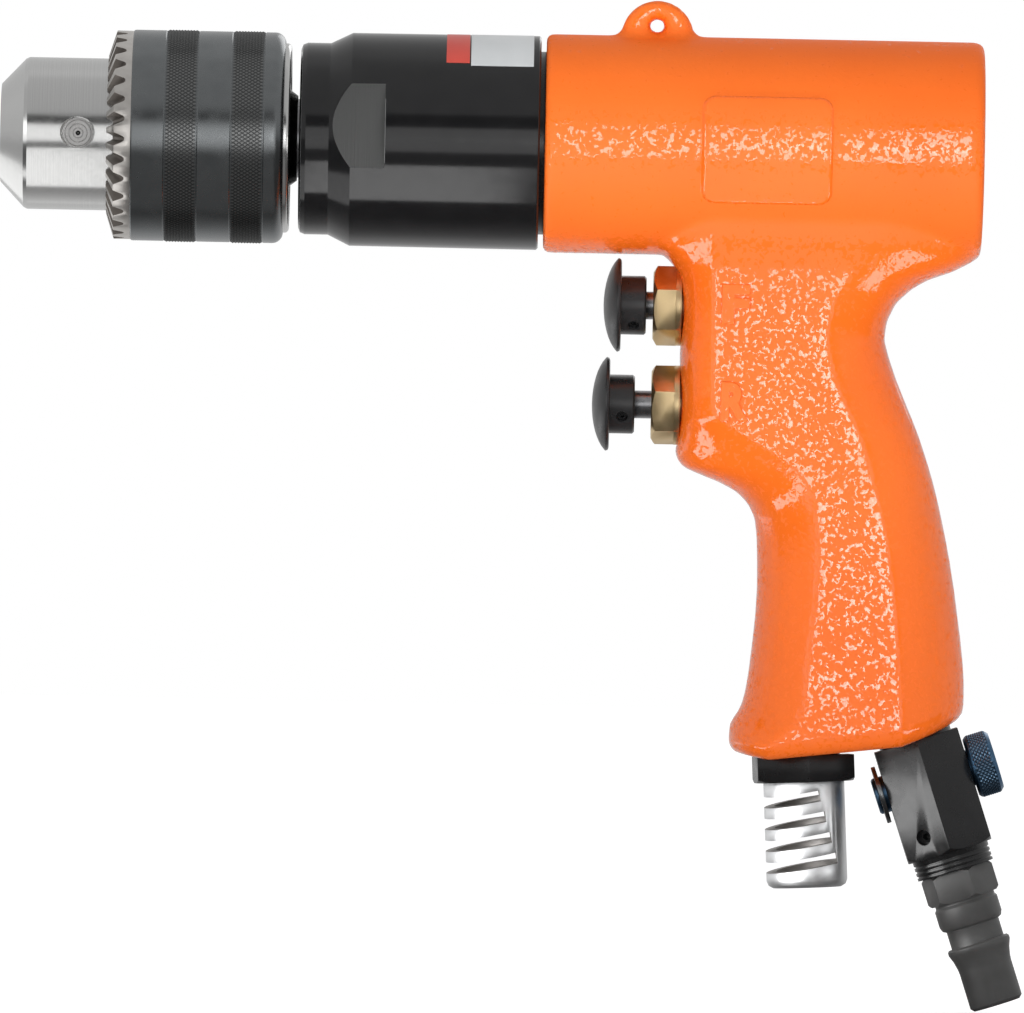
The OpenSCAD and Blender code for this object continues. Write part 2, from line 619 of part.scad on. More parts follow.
module end_plate(x, t, pocket_x) difference() {
    rod(x, t, motor_r);
    rod(x - 1, t + 2, shoulder_r + free_gap);
    rod(pocket_x, rotor_bearing_w + 0.6, rotor_bearing_r);
}

module front_plate() color([0.50, 0.50, 0.52])
    end_plate(front_x, front_t, front_bearing_x - 0.6);

module rear_plate() color([0.50, 0.50, 0.52]) end_plate(rear_x, rear_t, rear_bearing_x);

module rear_gasket() color([0.12, 0.12, 0.12]) tube(gasket_x, gasket_t, motor_r - 0.2, motor_r - 7.15);

module chuck_body() color([0.78, 0.78, 0.80]) difference() {
    turned([[0, 0], [nose_face_r, 0], [chuck_body_r - 0.4, nose_cone_len - 0.4],
        [chuck_body_r, nose_cone_len + 0.4], [chuck_body_r, nut_x - 0.3], [groove_r, nut_x - 0.3],
        [groove_r, nut_end_x + 0.3], [body_rear_r, nut_end_x + 0.3], [body_rear_r, flange_x],
        [sleeve_bore_r - fit, flange_x], [sleeve_bore_r - fit, sleeve_end_x],
        [sleeve_bore_r - 0.5, sleeve_end_x + 0.1], [sleeve_bore_r - 1.8, sleeve_end_x + 0.8],
        [sleeve_bore_r - 5, sleeve_end_x + 1.4], [hub_r + 1.2, sleeve_end_x + 1.7],
        [hub_r, chuck_len], [0, chuck_len]]);
    rod(-1, mouth_len + 1, mouth_r);
    rod(mouth_len - 1, 30, 2.6);
    rod(spindle_stub_x - 1, 30, stub_r + fit);
    for (k = [0 : 2]) rotate([120 * k, 0, 0]) {
        jaw_bar(jaw_r + 0.08, -2, (jaw_tail_x + open_x) / cos(jaw_angle) + 0.8);
        translate([pilot_x, -10.5, 0]) rotate([90, 0, 0]) cylinder(r = pilot_r, h = 12);
        translate([pilot_x, -chuck_body_r + 0.5, 0]) rotate([90, 0, 0])
            cylinder(r1 = pilot_r, r2 = pilot_r + 1, h = 1);
    }
}

// A round bar along a jaw's own axis, between two places measured along that axis.
module jaw_bar(r, from, to) translate([0, jaw_axis_r, 0]) rotate([0, 0, jaw_angle]) rotate([0, 90, 0])
    translate([0, 0, from]) cylinder(r = r, h = to - from);

module jaw(k) color([0.58, 0.58, 0.60]) rotate([120 * k, 0, 0]) difference() {
    jaw_bar(jaw_r, -4, jaw_tail_x / cos(jaw_angle));
    translate([-20, -30, -30]) cube([20, 60, 60]);
    rod(-5, 60, grip_r);
    for (s = [-1, 1]) translate([0, grip_r - grip_min_r + 0.14, 0]) rotate([60 * s, 0, 0])
        translate([-5, -20, s > 0 ? 0 : -20]) cube([80, 60, 20]);
}

module jaw_1() jaw(0);
module jaw_2() jaw(1);
module jaw_3() jaw(2);

module chuck_screw() color([0.3, 0.3, 0.32]) difference() {
    turned([[0, mouth_len - 3.4], [4.2, mouth_len - 3.4], [4.4, mouth_len - 3], [4.4, mouth_len],
        [2.5, mouth_len], [2.5, spindle_stub_x + 12], [0, spindle_stub_x + 12]]);
    translate([mouth_len - 4, 0, 0]) rotate([0, 90, 0]) cylinder(r = 2, h = 3, $fn = 6);
}

module chuck_sleeve() color([0.22, 0.22, 0.24]) difference() {
    x1 = crown_x + crown_len;
    in_r = chuck_body_r + fit;
    turned([[in_r, crown_x], [in_r + 0.7, crown_x], [sleeve_r - 0.25, crown_x + 1.7],
        [sleeve_r - 0.25, x1], [sleeve_r, x1 + 0.3], [sleeve_r, x1 + 7], [sleeve_r + 0.15, x1 + 7.2],
        [sleeve_r + 0.15, x1 + 14.2], [sleeve_r, x1 + 14.4], [sleeve_r, x1 + 21.3],
        [sleeve_r + 0.15, x1 + 21.5], [sleeve_r + 0.15, x1 + 28.5], [sleeve_r, x1 + 28.7],
        [sleeve_r - 0.1, sleeve_end_x - 1.2], [sleeve_r - 0.7, sleeve_end_x - 0.2],
        [sleeve_r - 1.1, sleeve_end_x], [sleeve_bore_r, sleeve_end_x], [sleeve_bore_r, nut_end_x],
        [nut_r, nut_end_x], [nut_r, nut_x], [in_r, nut_x]]);
    slope = atan2(2.3, sleeve_r - 0.95 - in_r);
    for (k = [0 : crown_teeth - 1]) rotate([360 / crown_teeth * (k + 0.3), 0, 0])
        translate([crown_x - 0.6, -in_r - 0.7, 0]) rotate([0, 0, slope]) translate([crown_depth, 3, 0])
            rotate([90, 0, 0]) linear_extrude(height = 14)
                polygon([[0, 0.3], [-0.35, 0.62], [-2 * crown_depth, 2.5], [-2 * crown_depth, -2.5],
                    [-0.35, -0.62], [0, -0.3]]);
}

module jaw_nut() color([0.40, 0.40, 0.42]) difference() {
    clear = jaw_axis_r + jaw_reach + 0.15;
    turned([[clear + nut_x * tan_jaw, nut_x], [nut_r, nut_x], [nut_r, nut_end_x],
        [clear + nut_end_x * tan_jaw, nut_end_x]]);
    translate([nut_x - 1, -0.2, -30]) cube([nut_w + 2, 0.4, 60]);
}

module valve_cap(z, turn) color([0.80, 0.62, 0.28]) translate([0, 0, z]) difference() {
    union() {
        intersection() {
            translate([cap_x, 0, 0]) rotate([turn, 0, 0]) rotate([0, 90, 0])
                cylinder(r = cap_corner_r, h = cap_len - 1, $fn = 6);
            turned([[0, cap_x], [cap_af / 2 - 0.3, cap_x], [cap_corner_r + 0.2, cap_x + 1],
                [cap_corner_r + 0.2, cap_x + cap_len], [0, cap_x + cap_len]]);
        }
        rod(cap_x + cap_len - 1.2, 1.2, cap_corner_r - 0.1);
        rod(valve_face_x - 0.5, shank_len + 0.5, shank_r);
    }
    rod(cap_x - 1, cap_len + shank_len + 2, stem_r + fit);
}

module valve_seat(z) color([0.75, 0.60, 0.30]) translate([0, 0, z])
    tube(seat_x, seat_len, chamber_r + fit, stem_r + 0.9);

module valve_stem(z, hub_x) color([0.72, 0.72, 0.74]) translate([0, 0, z]) {
    turned([[0, hub_x - button_hub_len + 0.6], [stem_r - 0.3, hub_x - button_hub_len + 0.6],
        [stem_r, hub_x - button_hub_len + 0.9], [stem_r, poppet_x], [4.8, poppet_x],
        [4.8, poppet_x + poppet_t], [1.9, poppet_x + poppet_t], [1.9, poppet_x + poppet_t + 2],
        [0, poppet_x + poppet_t + 2]]);
}

module valve_seal(z) color([0.05, 0.05, 0.05]) translate([poppet_x - 0.7, 0, z]) rotate([0, 90, 0])
    rotate_extrude() translate([4.1, 0]) circle(r = 0.65);

module button(z, hub_x) color([0.07, 0.07, 0.08]) translate([0, 0, z]) difference() {
    x1 = hub_x - button_hub_len;
    x0 = x1 - button_t;
    turned(concat([[0, x0]], [for (a = [8 : 8 : 64]) [(button_r - 0.3) * sin(a) / sin(64),
            x0 + (button_t - 1) * (1 - cos(a)) / (1 - cos(64))]],
        [[button_r, x1 - 0.7], [button_r - 0.2, x1 - 0.2], [button_r - 0.7, x1],
        [button_hub_r, x1], [button_hub_r, hub_x - 0.4], [button_hub_r - 0.4, hub_x], [0, hub_x]]));
    rod(x1 + 0.4, 20, stem_r + fit);
    children();
}

// Grub screw hole or screw across a button's hub, at an angle below the camera side.
module hub_screw(z, hub_x, a, r, from, to) translate([hub_x - button_hub_len / 2, 0, z]) rotate([a, 0, 0])
    rotate([90, 0, 0]) translate([0, 0, from]) cylinder(r = r, h = to - from);

module grub_screw(z, hub_x, a) color([0.2, 0.2, 0.21]) difference() {
    hub_screw(z, hub_x, a, grub_r, stem_r + fit, button_hub_r - 0.7);
    translate([hub_x - button_hub_len / 2, 0, z]) rotate([a, 0, 0]) rotate([90, 0, 0])
        translate([0, 0, button_hub_r - 1.7]) cylinder(r = 0.6, h = 3, $fn = 6);
}

module forward_button() button(forward_z, forward_hub_x) translate([0, 0, -forward_z])
    hub_screw(forward_z, forward_hub_x, 45, grub_r, 0, 9);
module reverse_button() button(reverse_z, reverse_hub_x) translate([0, 0, -reverse_z])
    hub_screw(reverse_z, reverse_hub_x, 26, grub_r, 0, 9);
module forward_grub_screw() grub_screw(forward_z, forward_hub_x, 45);
module reverse_grub_screw() grub_screw(reverse_z, reverse_hub_x, 26);
module forward_cap() valve_cap(forward_z, 7);
module reverse_cap() valve_cap(reverse_z, 11);
module forward_seat() valve_seat(forward_z);
module reverse_seat() valve_seat(reverse_z);
module forward_stem() valve_stem(forward_z, forward_hub_x);
module reverse_stem() valve_stem(reverse_z, reverse_hub_x);
module forward_seal() valve_seal(forward_z);
module reverse_seal() valve_seal(reverse_z);

// A coil spring along the spindle's direction: one six-sided wire swept along a helix.
module coil(x, z, len, r, wire, turns) {
    n = turns * 14;
    pts = [for (i = [0 : n], j = [0 : 5]) let (a = 360 * turns * i / n, b = 60 * j, q = r + wire * cos(b))
        [x + wire + (len - 2 * wire) * i / n + wire * sin(b), q * cos(a), z + q * sin(a)]];
    walls = [for (i = [0 : n - 1], j = [0 : 5]) let (a = i * 6 + j, b = i * 6 + (j + 1) % 6)
        each [[a, a + 6, b], [b, a + 6, b + 6]]];
    ends = [[0, 1, 2, 3, 4, 5], [for (j = [5 : -1 : 0]) n * 6 + j]];
    polyhedron(points = pts, faces = concat(walls, ends));
}

module valve_spring(z, end_x) color([0.7, 0.7, 0.72])
    coil(poppet_x + poppet_t + 0.02, z, end_x - poppet_x - poppet_t - 0.04, 3.2, 0.45, 5);
module forward_spring() valve_spring(forward_z, forward_end_x);
module reverse_spring() valve_spring(reverse_z, reverse_end_x);

module muffler_nut() color([0.09, 0.09, 0.10]) muffler_frame() difference() {
    union() {
        intersection() {
            rotate([0, 0, 25]) cylinder(r = muffler_corner_r, h = muffler_nut_len, $fn = 6);
            union() {
                cylinder(r = muffler_corner_r + 0.1, h = muffler_nut_len - 0.8);
                translate([0, 0, muffler_nut_len - 0.8])
                    cylinder(r1 = muffler_corner_r + 0.1, r2 = muffler_af / 2 + 0.3, h = 0.8);
            }
        }
        translate([0, 0, -thread_len]) cylinder(r = thread_r, h = thread_len + 1);
    }
    translate([0, 0, -thread_len - 1]) cylinder(r = thread_r - 2, h = 40);
    translate([0, 0, muffler_nut_len - 3]) cylinder(r = muffler_r - 1 + fit, h = 10);
}

module muffler_tube() color([0.80, 0.81, 0.82]) muffler_frame() difference() {
    e = muffler_nut_len + muffler_len;
    rotate_extrude() polygon([[0, muffler_nut_len - 3], [muffler_r - 1, muffler_nut_len - 3],
        [muffler_r - 1, muffler_nut_len], [muffler_r, muffler_nut_len], [muffler_r, e - 1.6],
        [muffler_r - 0.4, e - 0.6], [muffler_r - 1.4, e], [0, e]]);
    translate([0, 0, muffler_nut_len - 4]) cylinder(r = muffler_r - 2.2, h = muffler_len + 2);
    for (i = [0 : muffler_slots - 1]) translate([0, 0, muffler_nut_len + 2.9 + slot_pitch * i])
        rotate([-4, -8, 0]) translate([-3.2 - 1.1 * i, -20, -slot_h / 2]) cube([30, 40, slot_h]);
}

module inlet_body() color([0.13, 0.13, 0.14]) inlet_frame() difference() {
    c = inlet_hex_len;
    union() {
        rotate([0, 0, 30]) intersection() {
            translate([0, 0, 0]) cylinder(r = inlet_corner_r, h = c, $fn = 6);
            union() {
                cylinder(r = inlet_corner_r + 0.1, h = c - 1);
                translate([0, 0, c - 1])
                    cylinder(r1 = inlet_corner_r + 0.1, r2 = inlet_af / 2 + 0.2, h = 1);
            }
        }
        translate([0, 0, -thread_len]) cylinder(r = thread_r, h = thread_len + 1);
        translate([0, 0, c - 1]) cylinder(r = collar_r, h = collar_len + 1);
    }
    for (i = [0 : 2]) translate([0, 0, c + 1 + 1.1 * i]) difference() {
        cylinder(r = collar_r + 1, h = 0.4);
        cylinder(r = collar_r - 0.3, h = 0.4);
    }
    translate([0, 0, -thread_len - 1]) cylinder(r = 4.2, h = c + thread_len + 20);
    translate([0, 0, c + collar_len - 7]) cylinder(r = 6 + fit, h = 20);
    translate([-20, 0, regulator_drop]) rotate([0, 90, 0]) cylinder(r = spool_r + fit, h = 40);
    inlet_screw_place() cylinder(r = 1.7, h = 9);
}

// Place of the small screw on the inlet's front camera-side flat.
module inlet_screw_place() translate([0, 0, inlet_hex_len - 4.7]) rotate([0, 0, 30]) translate([0, -4.6, 0])
    rotate([90, 0, 0]) children();

module inlet_screw() color([0.35, 0.35, 0.37]) inlet_frame() inlet_screw_place() translate([0, 0, 0.2])
    difference() {
        cylinder(r = 1.7 - fit, h = 3.4);
        translate([0, 0, 1.6]) cylinder(r = 0.8, h = 3, $fn = 6);
    }

module plug() color([0.15, 0.15, 0.16]) inlet_frame() translate([0, 0, plug_x]) difference() {
    h = plug_hex_len;
    union() {
        intersection() {
            rotate([0, 0, 12]) cylinder(r = plug_corner_r, h = h, $fn = 6);
            union() {
                cylinder(r1 = plug_af / 2 + 0.3, r2 = plug_corner_r + 0.1, h = 0.8);
                translate([0, 0, 0.8]) cylinder(r = plug_corner_r + 0.1, h = h - 1.6);
                translate([0, 0, h - 0.8])
                    cylinder(r1 = plug_corner_r + 0.1, r2 = plug_af / 2 + 0.3, h = 0.8);
            }
        }
        translate([0, 0, -6.5]) cylinder(r = 6, h = 7.5);
        rotate_extrude() polygon([[0, h - 1], [6.6, h - 1], [6.6, h + 0.6], [7, h + 1.2], [7, h + 4.6],
            [6.6, h + 5.6], [5.85, h + 6], [5.85, h + 9.9],
            [plug_flange_r - 0.3, h + 9.9], [plug_flange_r, h + 10.3],
            [plug_flange_r, h + 11], [plug_nose_r + 0.5, h + 12.6], [plug_nose_r + 0.1, h + 14.4],
            [plug_nose_r, h + 15.4],
            [plug_nose_r, h + 9.9 + plug_nose_len - 0.7], [plug_nose_r - 0.7, h + 9.9 + plug_nose_len],
            [0, h + 9.9 + plug_nose_len]]);
    }
    translate([0, 0, -9]) cylinder(r = plug_bore_r, h = 60);
    translate([0, 0, h + 8.9 + plug_nose_len]) cylinder(r1 = plug_bore_r, r2 = plug_bore_r + 1.2, h = 1.2);
}

module regulator_frame() inlet_frame() translate([0, 0, regulator_drop]) rotate([0, -90, 0]) children();

module regulator_spool() color([0.20, 0.26, 0.42]) regulator_frame() difference() {
    f = regulator_far;
    rotate_extrude() polygon([[0, -f - 2.2], [spool_r - 0.4, -f - 2.2], [spool_r, -f - 1.8],
        [spool_r, -f - 1.4], [spool_r - 0.8, -f - 1.4], [spool_r - 0.8, -f - 0.4], [spool_r, -f - 0.4],
        [spool_r, -7], [spool_r - 0.9, -7], [spool_r - 0.9, -5.6], [spool_r, -5.6], [spool_r, 5.6],
        [spool_r - 0.9, 5.6], [spool_r - 0.9, 7], [spool_r, 7], [spool_r, f], [regulator_r - 0.5, f],
        [regulator_r, f + 0.5], [regulator_r, f + regulator_t - 0.7],
        [regulator_r - 0.7, f + regulator_t], [0, f + regulator_t]]);
    rotate([0, 90, 0]) translate([0, 0, -10]) cylinder(r = 2.4, h = 20);
}

module regulator_seals() color([0.05, 0.05, 0.05]) regulator_frame() for (z = [-6.3, 6.3])
    translate([0, 0, z]) rotate_extrude() translate([spool_r - 0.48, 0]) circle(r = 0.42);

module regulator_clip() color([0.10, 0.10, 0.11]) regulator_frame() difference() {
    translate([0, 0, -regulator_far - 1.35]) cylinder(r = spool_r + 2.4, h = 0.9);
    translate([0, 0, -regulator_far - 2]) cylinder(r = spool_r - 0.8, h = 3);
    translate([0, -1.5, -regulator_far - 2]) cube([12, 3, 4]);
}

housing();
gear_case();
ring_gear();
gear_spacer();
spindle_seal();
spindle_bearing_outers();
bearing_spacer();
spindle_bearing_balls();
spindle_bearing_inners();
spindle();
output_pins();
output_planet_1();
output_planet_2();
output_planet_3();
input_carrier();
input_pins();
input_planet_1();
input_planet_2();
input_planet_3();
rotor();
vanes();
rotor_bearing_inners();
rotor_bearing_balls();
rotor_bearing_outers();
motor_cylinder();
front_plate();
rear_plate();
rear_gasket();
chuck_body();
chuck_screw();
chuck_sleeve();
jaw_nut();
jaw_1();
jaw_2();
jaw_3();
forward_cap();
forward_seat();
forward_spring();
forward_stem();
forward_seal();
forward_button();
forward_grub_screw();
reverse_cap();
reverse_seat();
reverse_spring();
reverse_stem();
reverse_seal();
reverse_button();
reverse_grub_screw();
muffler_nut();
muffler_tube();
inlet_body();
inlet_screw();
plug();
regulator_spool();
regulator_seals();
regulator_clip();
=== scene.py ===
# %% [markdown]
# # A pistol air drill, dressed for its portrait
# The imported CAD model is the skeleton: every piece already sits where it belongs, in metres, with
# the spindle along X and the camera on the -Y side. Blender adds what a photograph shows and a
# solid model doesn't: broken edges, cast skin, knurls, paint, oxide and light. So the first cell
# loads the frame and keeps its box, because nothing made here may change the drill's size.

# %% Load the frame
import json
import math

import bmesh
import bpy
from mathutils import Matrix, Vector


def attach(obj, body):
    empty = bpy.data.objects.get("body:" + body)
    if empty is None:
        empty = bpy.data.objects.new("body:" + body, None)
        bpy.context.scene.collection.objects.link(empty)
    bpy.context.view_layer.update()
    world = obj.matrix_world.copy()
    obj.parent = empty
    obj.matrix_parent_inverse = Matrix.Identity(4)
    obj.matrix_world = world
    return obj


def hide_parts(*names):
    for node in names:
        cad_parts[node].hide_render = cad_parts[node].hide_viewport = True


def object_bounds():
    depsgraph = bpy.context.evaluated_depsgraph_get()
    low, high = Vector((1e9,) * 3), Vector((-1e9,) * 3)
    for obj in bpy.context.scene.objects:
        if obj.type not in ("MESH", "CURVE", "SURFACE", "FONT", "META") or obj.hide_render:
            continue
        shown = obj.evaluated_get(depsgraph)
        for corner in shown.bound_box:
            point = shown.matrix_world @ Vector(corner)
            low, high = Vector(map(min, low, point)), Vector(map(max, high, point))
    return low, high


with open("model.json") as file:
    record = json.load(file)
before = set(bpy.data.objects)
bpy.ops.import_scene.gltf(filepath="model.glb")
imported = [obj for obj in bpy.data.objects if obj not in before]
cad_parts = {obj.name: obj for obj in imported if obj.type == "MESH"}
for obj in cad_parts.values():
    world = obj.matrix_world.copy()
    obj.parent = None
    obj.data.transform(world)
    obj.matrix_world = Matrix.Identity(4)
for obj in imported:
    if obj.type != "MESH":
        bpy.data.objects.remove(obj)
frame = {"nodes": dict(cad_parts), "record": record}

MM = 0.001
nodes = frame["nodes"]
cad_low, cad_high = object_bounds()
body_of_node = {n: b for b, group in frame["record"]["behaviour"]["bodies"].items() for n in group}

# %% [markdown]
# ## The camera
# The drill was photographed square on from its left side with a long lens, and the picture is
# turned by about one degree, so the barrel sinks a little to the right. A long focal length at a
# large distance gives the same flat perspective; the width seen at the drill's middle plane sets
# the lens.

# %% Camera
VIEW_CENTRE = Vector((111.9, 0.0, -78.6)) * MM
VIEW_WIDTH = 221.2 * MM
CAMERA_DISTANCE = 4.0
PICTURE_TILT = math.radians(1.15)
SENSOR = 36.0

lens = bpy.data.cameras.new("camera")
lens.sensor_width = SENSOR
lens.lens = SENSOR * CAMERA_DISTANCE / VIEW_WIDTH
lens.clip_end = 50.0
camera = bpy.data.objects.new("camera", lens)
camera.location = VIEW_CENTRE - Vector((0.0, CAMERA_DISTANCE, 0.0))
camera.rotation_euler = (math.pi / 2, -PICTURE_TILT, 0.0)
bpy.context.scene.collection.objects.link(camera)
bpy.context.scene.camera = camera
bpy.context.scene.view_settings.view_transform = "Standard"
print(f"camera {CAMERA_DISTANCE} m away, lens {lens.lens:.0f} mm")

# %% [markdown]
# ## Light
# The black gear case is the best witness of the studio, because it mirrors everything: a broad
# softbox on the camera's side, darkness just above and below it, a grey room further up, and a low
# reflector in front of the case and the chuck's nose. The paint adds more clues. Its drops sparkle
# wherever it faces the camera, so a narrow bright panel stood before the softbox, and the glints in
# its corners and around the plate come from white cards below and beside the drill. Each of these
# becomes a rectangular lamp of a chosen brightness. A card that only shows in mirrors is hidden from
# diffuse light, and the soft fill that lifts the undersides is hidden from mirrors.

# %% Lamp helpers
FLOOR_Z = cad_low.z - 0.0004
CARD_Z = FLOOR_Z + 0.012
CARD_AIM_Z = 0.5


def area_lamp(name, place, facing, size, radiance, diffuse=True, glossy=True):
    lamp = bpy.data.lights.new(name, "AREA")
    lamp.shape = "RECTANGLE"
    lamp.size, lamp.size_y = size
    lamp.energy = radiance * math.pi * lamp.size * lamp.size_y
    stand = bpy.data.objects.new(name, lamp)
    stand.location = place
    stand.rotation_euler = (Vector(facing) - Vector(place)).to_track_quat("-Z", "Y").to_euler()
    stand.visible_camera = False
    stand.visible_diffuse = diffuse
    stand.visible_glossy = glossy
    bpy.context.scene.collection.objects.link(stand)


def mirror_card(name, place, facing, size, radiance):
    """A card that shows in mirrors and lights nothing else."""
    area_lamp(name, place, facing, size, radiance, diffuse=False)


def floor_card(name, x, y, size, radiance, lean=0.006):
    """A mirror card that lies just above the floor and faces up."""
    mirror_card(name, (x, y, CARD_Z), (x, y + lean, CARD_AIM_Z), size, radiance)


print("cards lie", round(CARD_Z - FLOOR_Z, 3), "m above the floor")

# %% Lamps
DRILL_MIDDLE = (0.11, 0.0, -0.04)
PLATE_MIDDLE = (0.165, 0.0, 0.0)
area_lamp("front_softbox", (0.11, -0.74, -0.0015), (0.11, 0.0, -0.0015), (0.72, 0.341), 1.12)
area_lamp("bare_bulb", (0.30, -1.88, 0.0), (0.17, 0.0, 0.0), (0.20, 0.20), 4.0)
mirror_card("paint_panel", (0.19, -0.70, 0.0375), (0.19, 0.0, 0.0375), (0.21, 0.415), 6.0)
area_lamp("top_softbox", (0.05, 0.25, 1.0), DRILL_MIDDLE, (0.9, 0.5), 0.45, glossy=False)
area_lamp("rear_softbox", (0.5, 1.1, 0.45), DRILL_MIDDLE, (0.6, 0.6), 1.0)
mirror_card("case_reflector", (0.0855, -0.1775, -0.1725), (0.0855, -0.1634, -0.0735), (0.051, 0.2475), 2.8)
floor_card("nose_reflector", -0.072, -0.206, (0.20, 0.388), 1.25)
floor_card("nose_bounce", -0.025, 0.07, (0.10, 0.16), 0.2)
floor_card("sleeve_reflector", 0.04, -0.206, (0.20, 0.388), 0.12)
mirror_card("cone_reflector", (-0.30, 0.28, FLOOR_Z + 0.01), (-0.25, 0.26, CARD_AIM_Z), (0.40, 0.50), 0.7)
mirror_card("left_panel", (-0.75, -0.55, -0.10), (0.15, 0.0, -0.08), (0.9, 0.7), 1.4)
mirror_card("right_panel", (0.85, -0.45, -0.09), (0.15, 0.0, -0.05), (0.50, 0.18), 2.0)
floor_card("front_wet", -0.045, -0.39, (0.13, 0.72), 5.0, lean=0.01)
floor_card("rear_wet", 0.30, -0.16, (0.07, 0.16), 4.5, lean=0.005)
mirror_card("edge_left", (-0.35, -0.50, 0.0), PLATE_MIDDLE, (0.30, 0.40), 6.0)
mirror_card("edge_right", (0.70, -0.50, 0.0), PLATE_MIDDLE, (0.30, 0.40), 6.0)
floor_card("edge_low", 0.165, -0.07, (0.06, 0.10), 6.0, lean=0.005)
mirror_card("inlet_reflector", (0.125, -0.055, -0.1665), (0.205, 0.0, -0.150), (0.09, 0.045), 6.0)
area_lamp("low_fill", (0.10, -0.42, CARD_Z), (0.10, -0.36, CARD_AIM_Z), (0.8, 0.55), 4.0, glossy=False)
print(len(bpy.data.lights), "lamps")

# %% [markdown]
# ## Room and floor
# The world answers each kind of ray differently. The camera sees white. Diffuse light comes from
# all around at one level. Mirrors see the room by direction: dark around the camera, grey at the
# sides and above, and pale behind the drill, where the backdrop is. The floor is an ordinary pale
# diffuse surface that keeps the drill's shadow, with a little light of its own that lifts it to
# the white of the backdrop, and mirrors see its front part dimmer, as they see the room.

# %% Node helpers
def feed(tree, value, socket):
    """Sets a plain number on a socket, or links another socket to it."""
    if isinstance(value, float):
        socket.default_value = value
    else:
        tree.links.new(value, socket)


def mixed(tree, fac, first, second):
    """A number between two others; each may be a socket or a plain value."""
    mix = tree.nodes.new("ShaderNodeMix")
    tree.links.new(fac, mix.inputs[0])
    feed(tree, first, mix.inputs[2])
    feed(tree, second, mix.inputs[3])
    return mix.outputs[0]


def combined(tree, operation, first, second):
    math_node = tree.nodes.new("ShaderNodeMath")
    math_node.operation = operation
    feed(tree, first, math_node.inputs[0])
    feed(tree, second, math_node.inputs[1])
    return math_node.outputs[0]


def part_of(tree, where, axis):
    split = tree.nodes.new("ShaderNodeSeparateXYZ")
    tree.links.new(where, split.inputs[0])
    return split.outputs[axis]


def stepped(tree, fac, steps):
    """A grey level by position, from a list of (position, level)."""
    node = tree.nodes.new("ShaderNodeValToRGB")
    elements = node.color_ramp.elements
    for place, _ in steps[1:-1]:
        elements.new(place)
    for element, (place, level) in zip(elements, steps):
        element.position = place
        element.color = (level, level, level, 1.0)
    tree.links.new(fac, node.inputs["Fac"])
    return node.outputs["Color"]


def mirror_rays(tree, ray):
    return combined(tree, "MAXIMUM", ray["Is Glossy Ray"], ray["Is Transmission Ray"])


print("node helpers ready")

# %% World
ROOM_DIFFUSE = 0.65
ROOM_IN_MIRRORS = [(0.0, 0.05), (0.05, 0.05), (0.062, 0.50), (0.5, 0.55),
                   (0.6, 0.66), (0.75, 0.62), (1.0, 0.62)]

room = bpy.data.worlds.new("studio_room")
room.use_nodes = True
bpy.context.scene.world = room
tree = room.node_tree
ray = tree.nodes.new("ShaderNodeLightPath").outputs
heading = part_of(tree, tree.nodes.new("ShaderNodeTexCoord").outputs["Generated"], "Y")
around = combined(tree, "MULTIPLY_ADD", heading, 0.5)
around.node.inputs[2].default_value = 0.5
unseen = mixed(tree, mirror_rays(tree, ray), ROOM_DIFFUSE, stepped(tree, around, ROOM_IN_MIRRORS))
background = tree.nodes["Background"].inputs
tree.links.new(mixed(tree, ray["Is Camera Ray"], unseen, 1.0), background["Strength"])
background["Color"].default_value = (1.0, 1.0, 1.0, 1.0)
print("room lit from all around at", ROOM_DIFFUSE)

# %% Floor
FLOOR_HALF = 6.0
FLOOR_TONE, FLOOR_TONE_IN_MIRRORS = 0.80, 0.13
FLOOR_GLOW = 0.56
FLOOR_BEHIND = [(0.50, 0.0), (0.66, 1.0)]

bm = bmesh.new()
bmesh.ops.create_grid(bm, x_segments=2, y_segments=2, size=FLOOR_HALF)
bmesh.ops.translate(bm, verts=bm.verts, vec=(0.1, 0.0, FLOOR_Z))
floor_mesh = bpy.data.meshes.new("floor")
bm.to_mesh(floor_mesh)
bm.free()
floor = bpy.data.objects.new("floor", floor_mesh)
bpy.context.scene.collection.objects.link(floor)

pale = bpy.data.materials.new("pale_floor")
pale.use_nodes = True
tree = pale.node_tree
shader = tree.nodes["Principled BSDF"]
shader.inputs["Roughness"].default_value = 0.9
shader.inputs["Specular IOR Level"].default_value = 0.0
shader.inputs["Emission Color"].default_value = (1.0, 1.0, 1.0, 1.0)
ray = tree.nodes.new("ShaderNodeLightPath").outputs
mirrors = mirror_rays(tree, ray)
across = part_of(tree, tree.nodes.new("ShaderNodeTexCoord").outputs["Object"], "Y")
behind = stepped(tree, combined(tree, "ADD", across, 0.5), FLOOR_BEHIND)
lifted = combined(tree, "MAXIMUM", ray["Is Camera Ray"], combined(tree, "MULTIPLY", mirrors, behind))
tree.links.new(combined(tree, "MULTIPLY", lifted, FLOOR_GLOW), shader.inputs["Emission Strength"])
tree.links.new(mixed(tree, mirrors, FLOOR_TONE, FLOOR_TONE_IN_MIRRORS), shader.inputs["Base Color"])
floor_mesh.materials.append(pale)
print("floor at", round(FLOOR_Z, 4))

# %% [markdown]
# ## Finishes
# Every finish on the drill is a Principled shader fed by a few textures in Object coordinates,
# which are metres here, so a scale of 1000 means a grain of about a millimetre. The helpers below
# each add one idea: a noise, fine lines, a tint between two colours, a spread of roughness, a
# relief, and the rings that a lathe leaves around an axis.

# %% Finish helpers
NOISE_LOW, NOISE_HIGH = 0.3, 0.7


def start_finish(name, metallic=0.0):
    material = bpy.data.materials.new(name)
    material.use_nodes = True
    tree = material.node_tree
    shader = tree.nodes["Principled BSDF"]
    shader.inputs["Metallic"].default_value = metallic
    where = tree.nodes.new("ShaderNodeTexCoord").outputs["Object"]
    return material, tree, shader, where


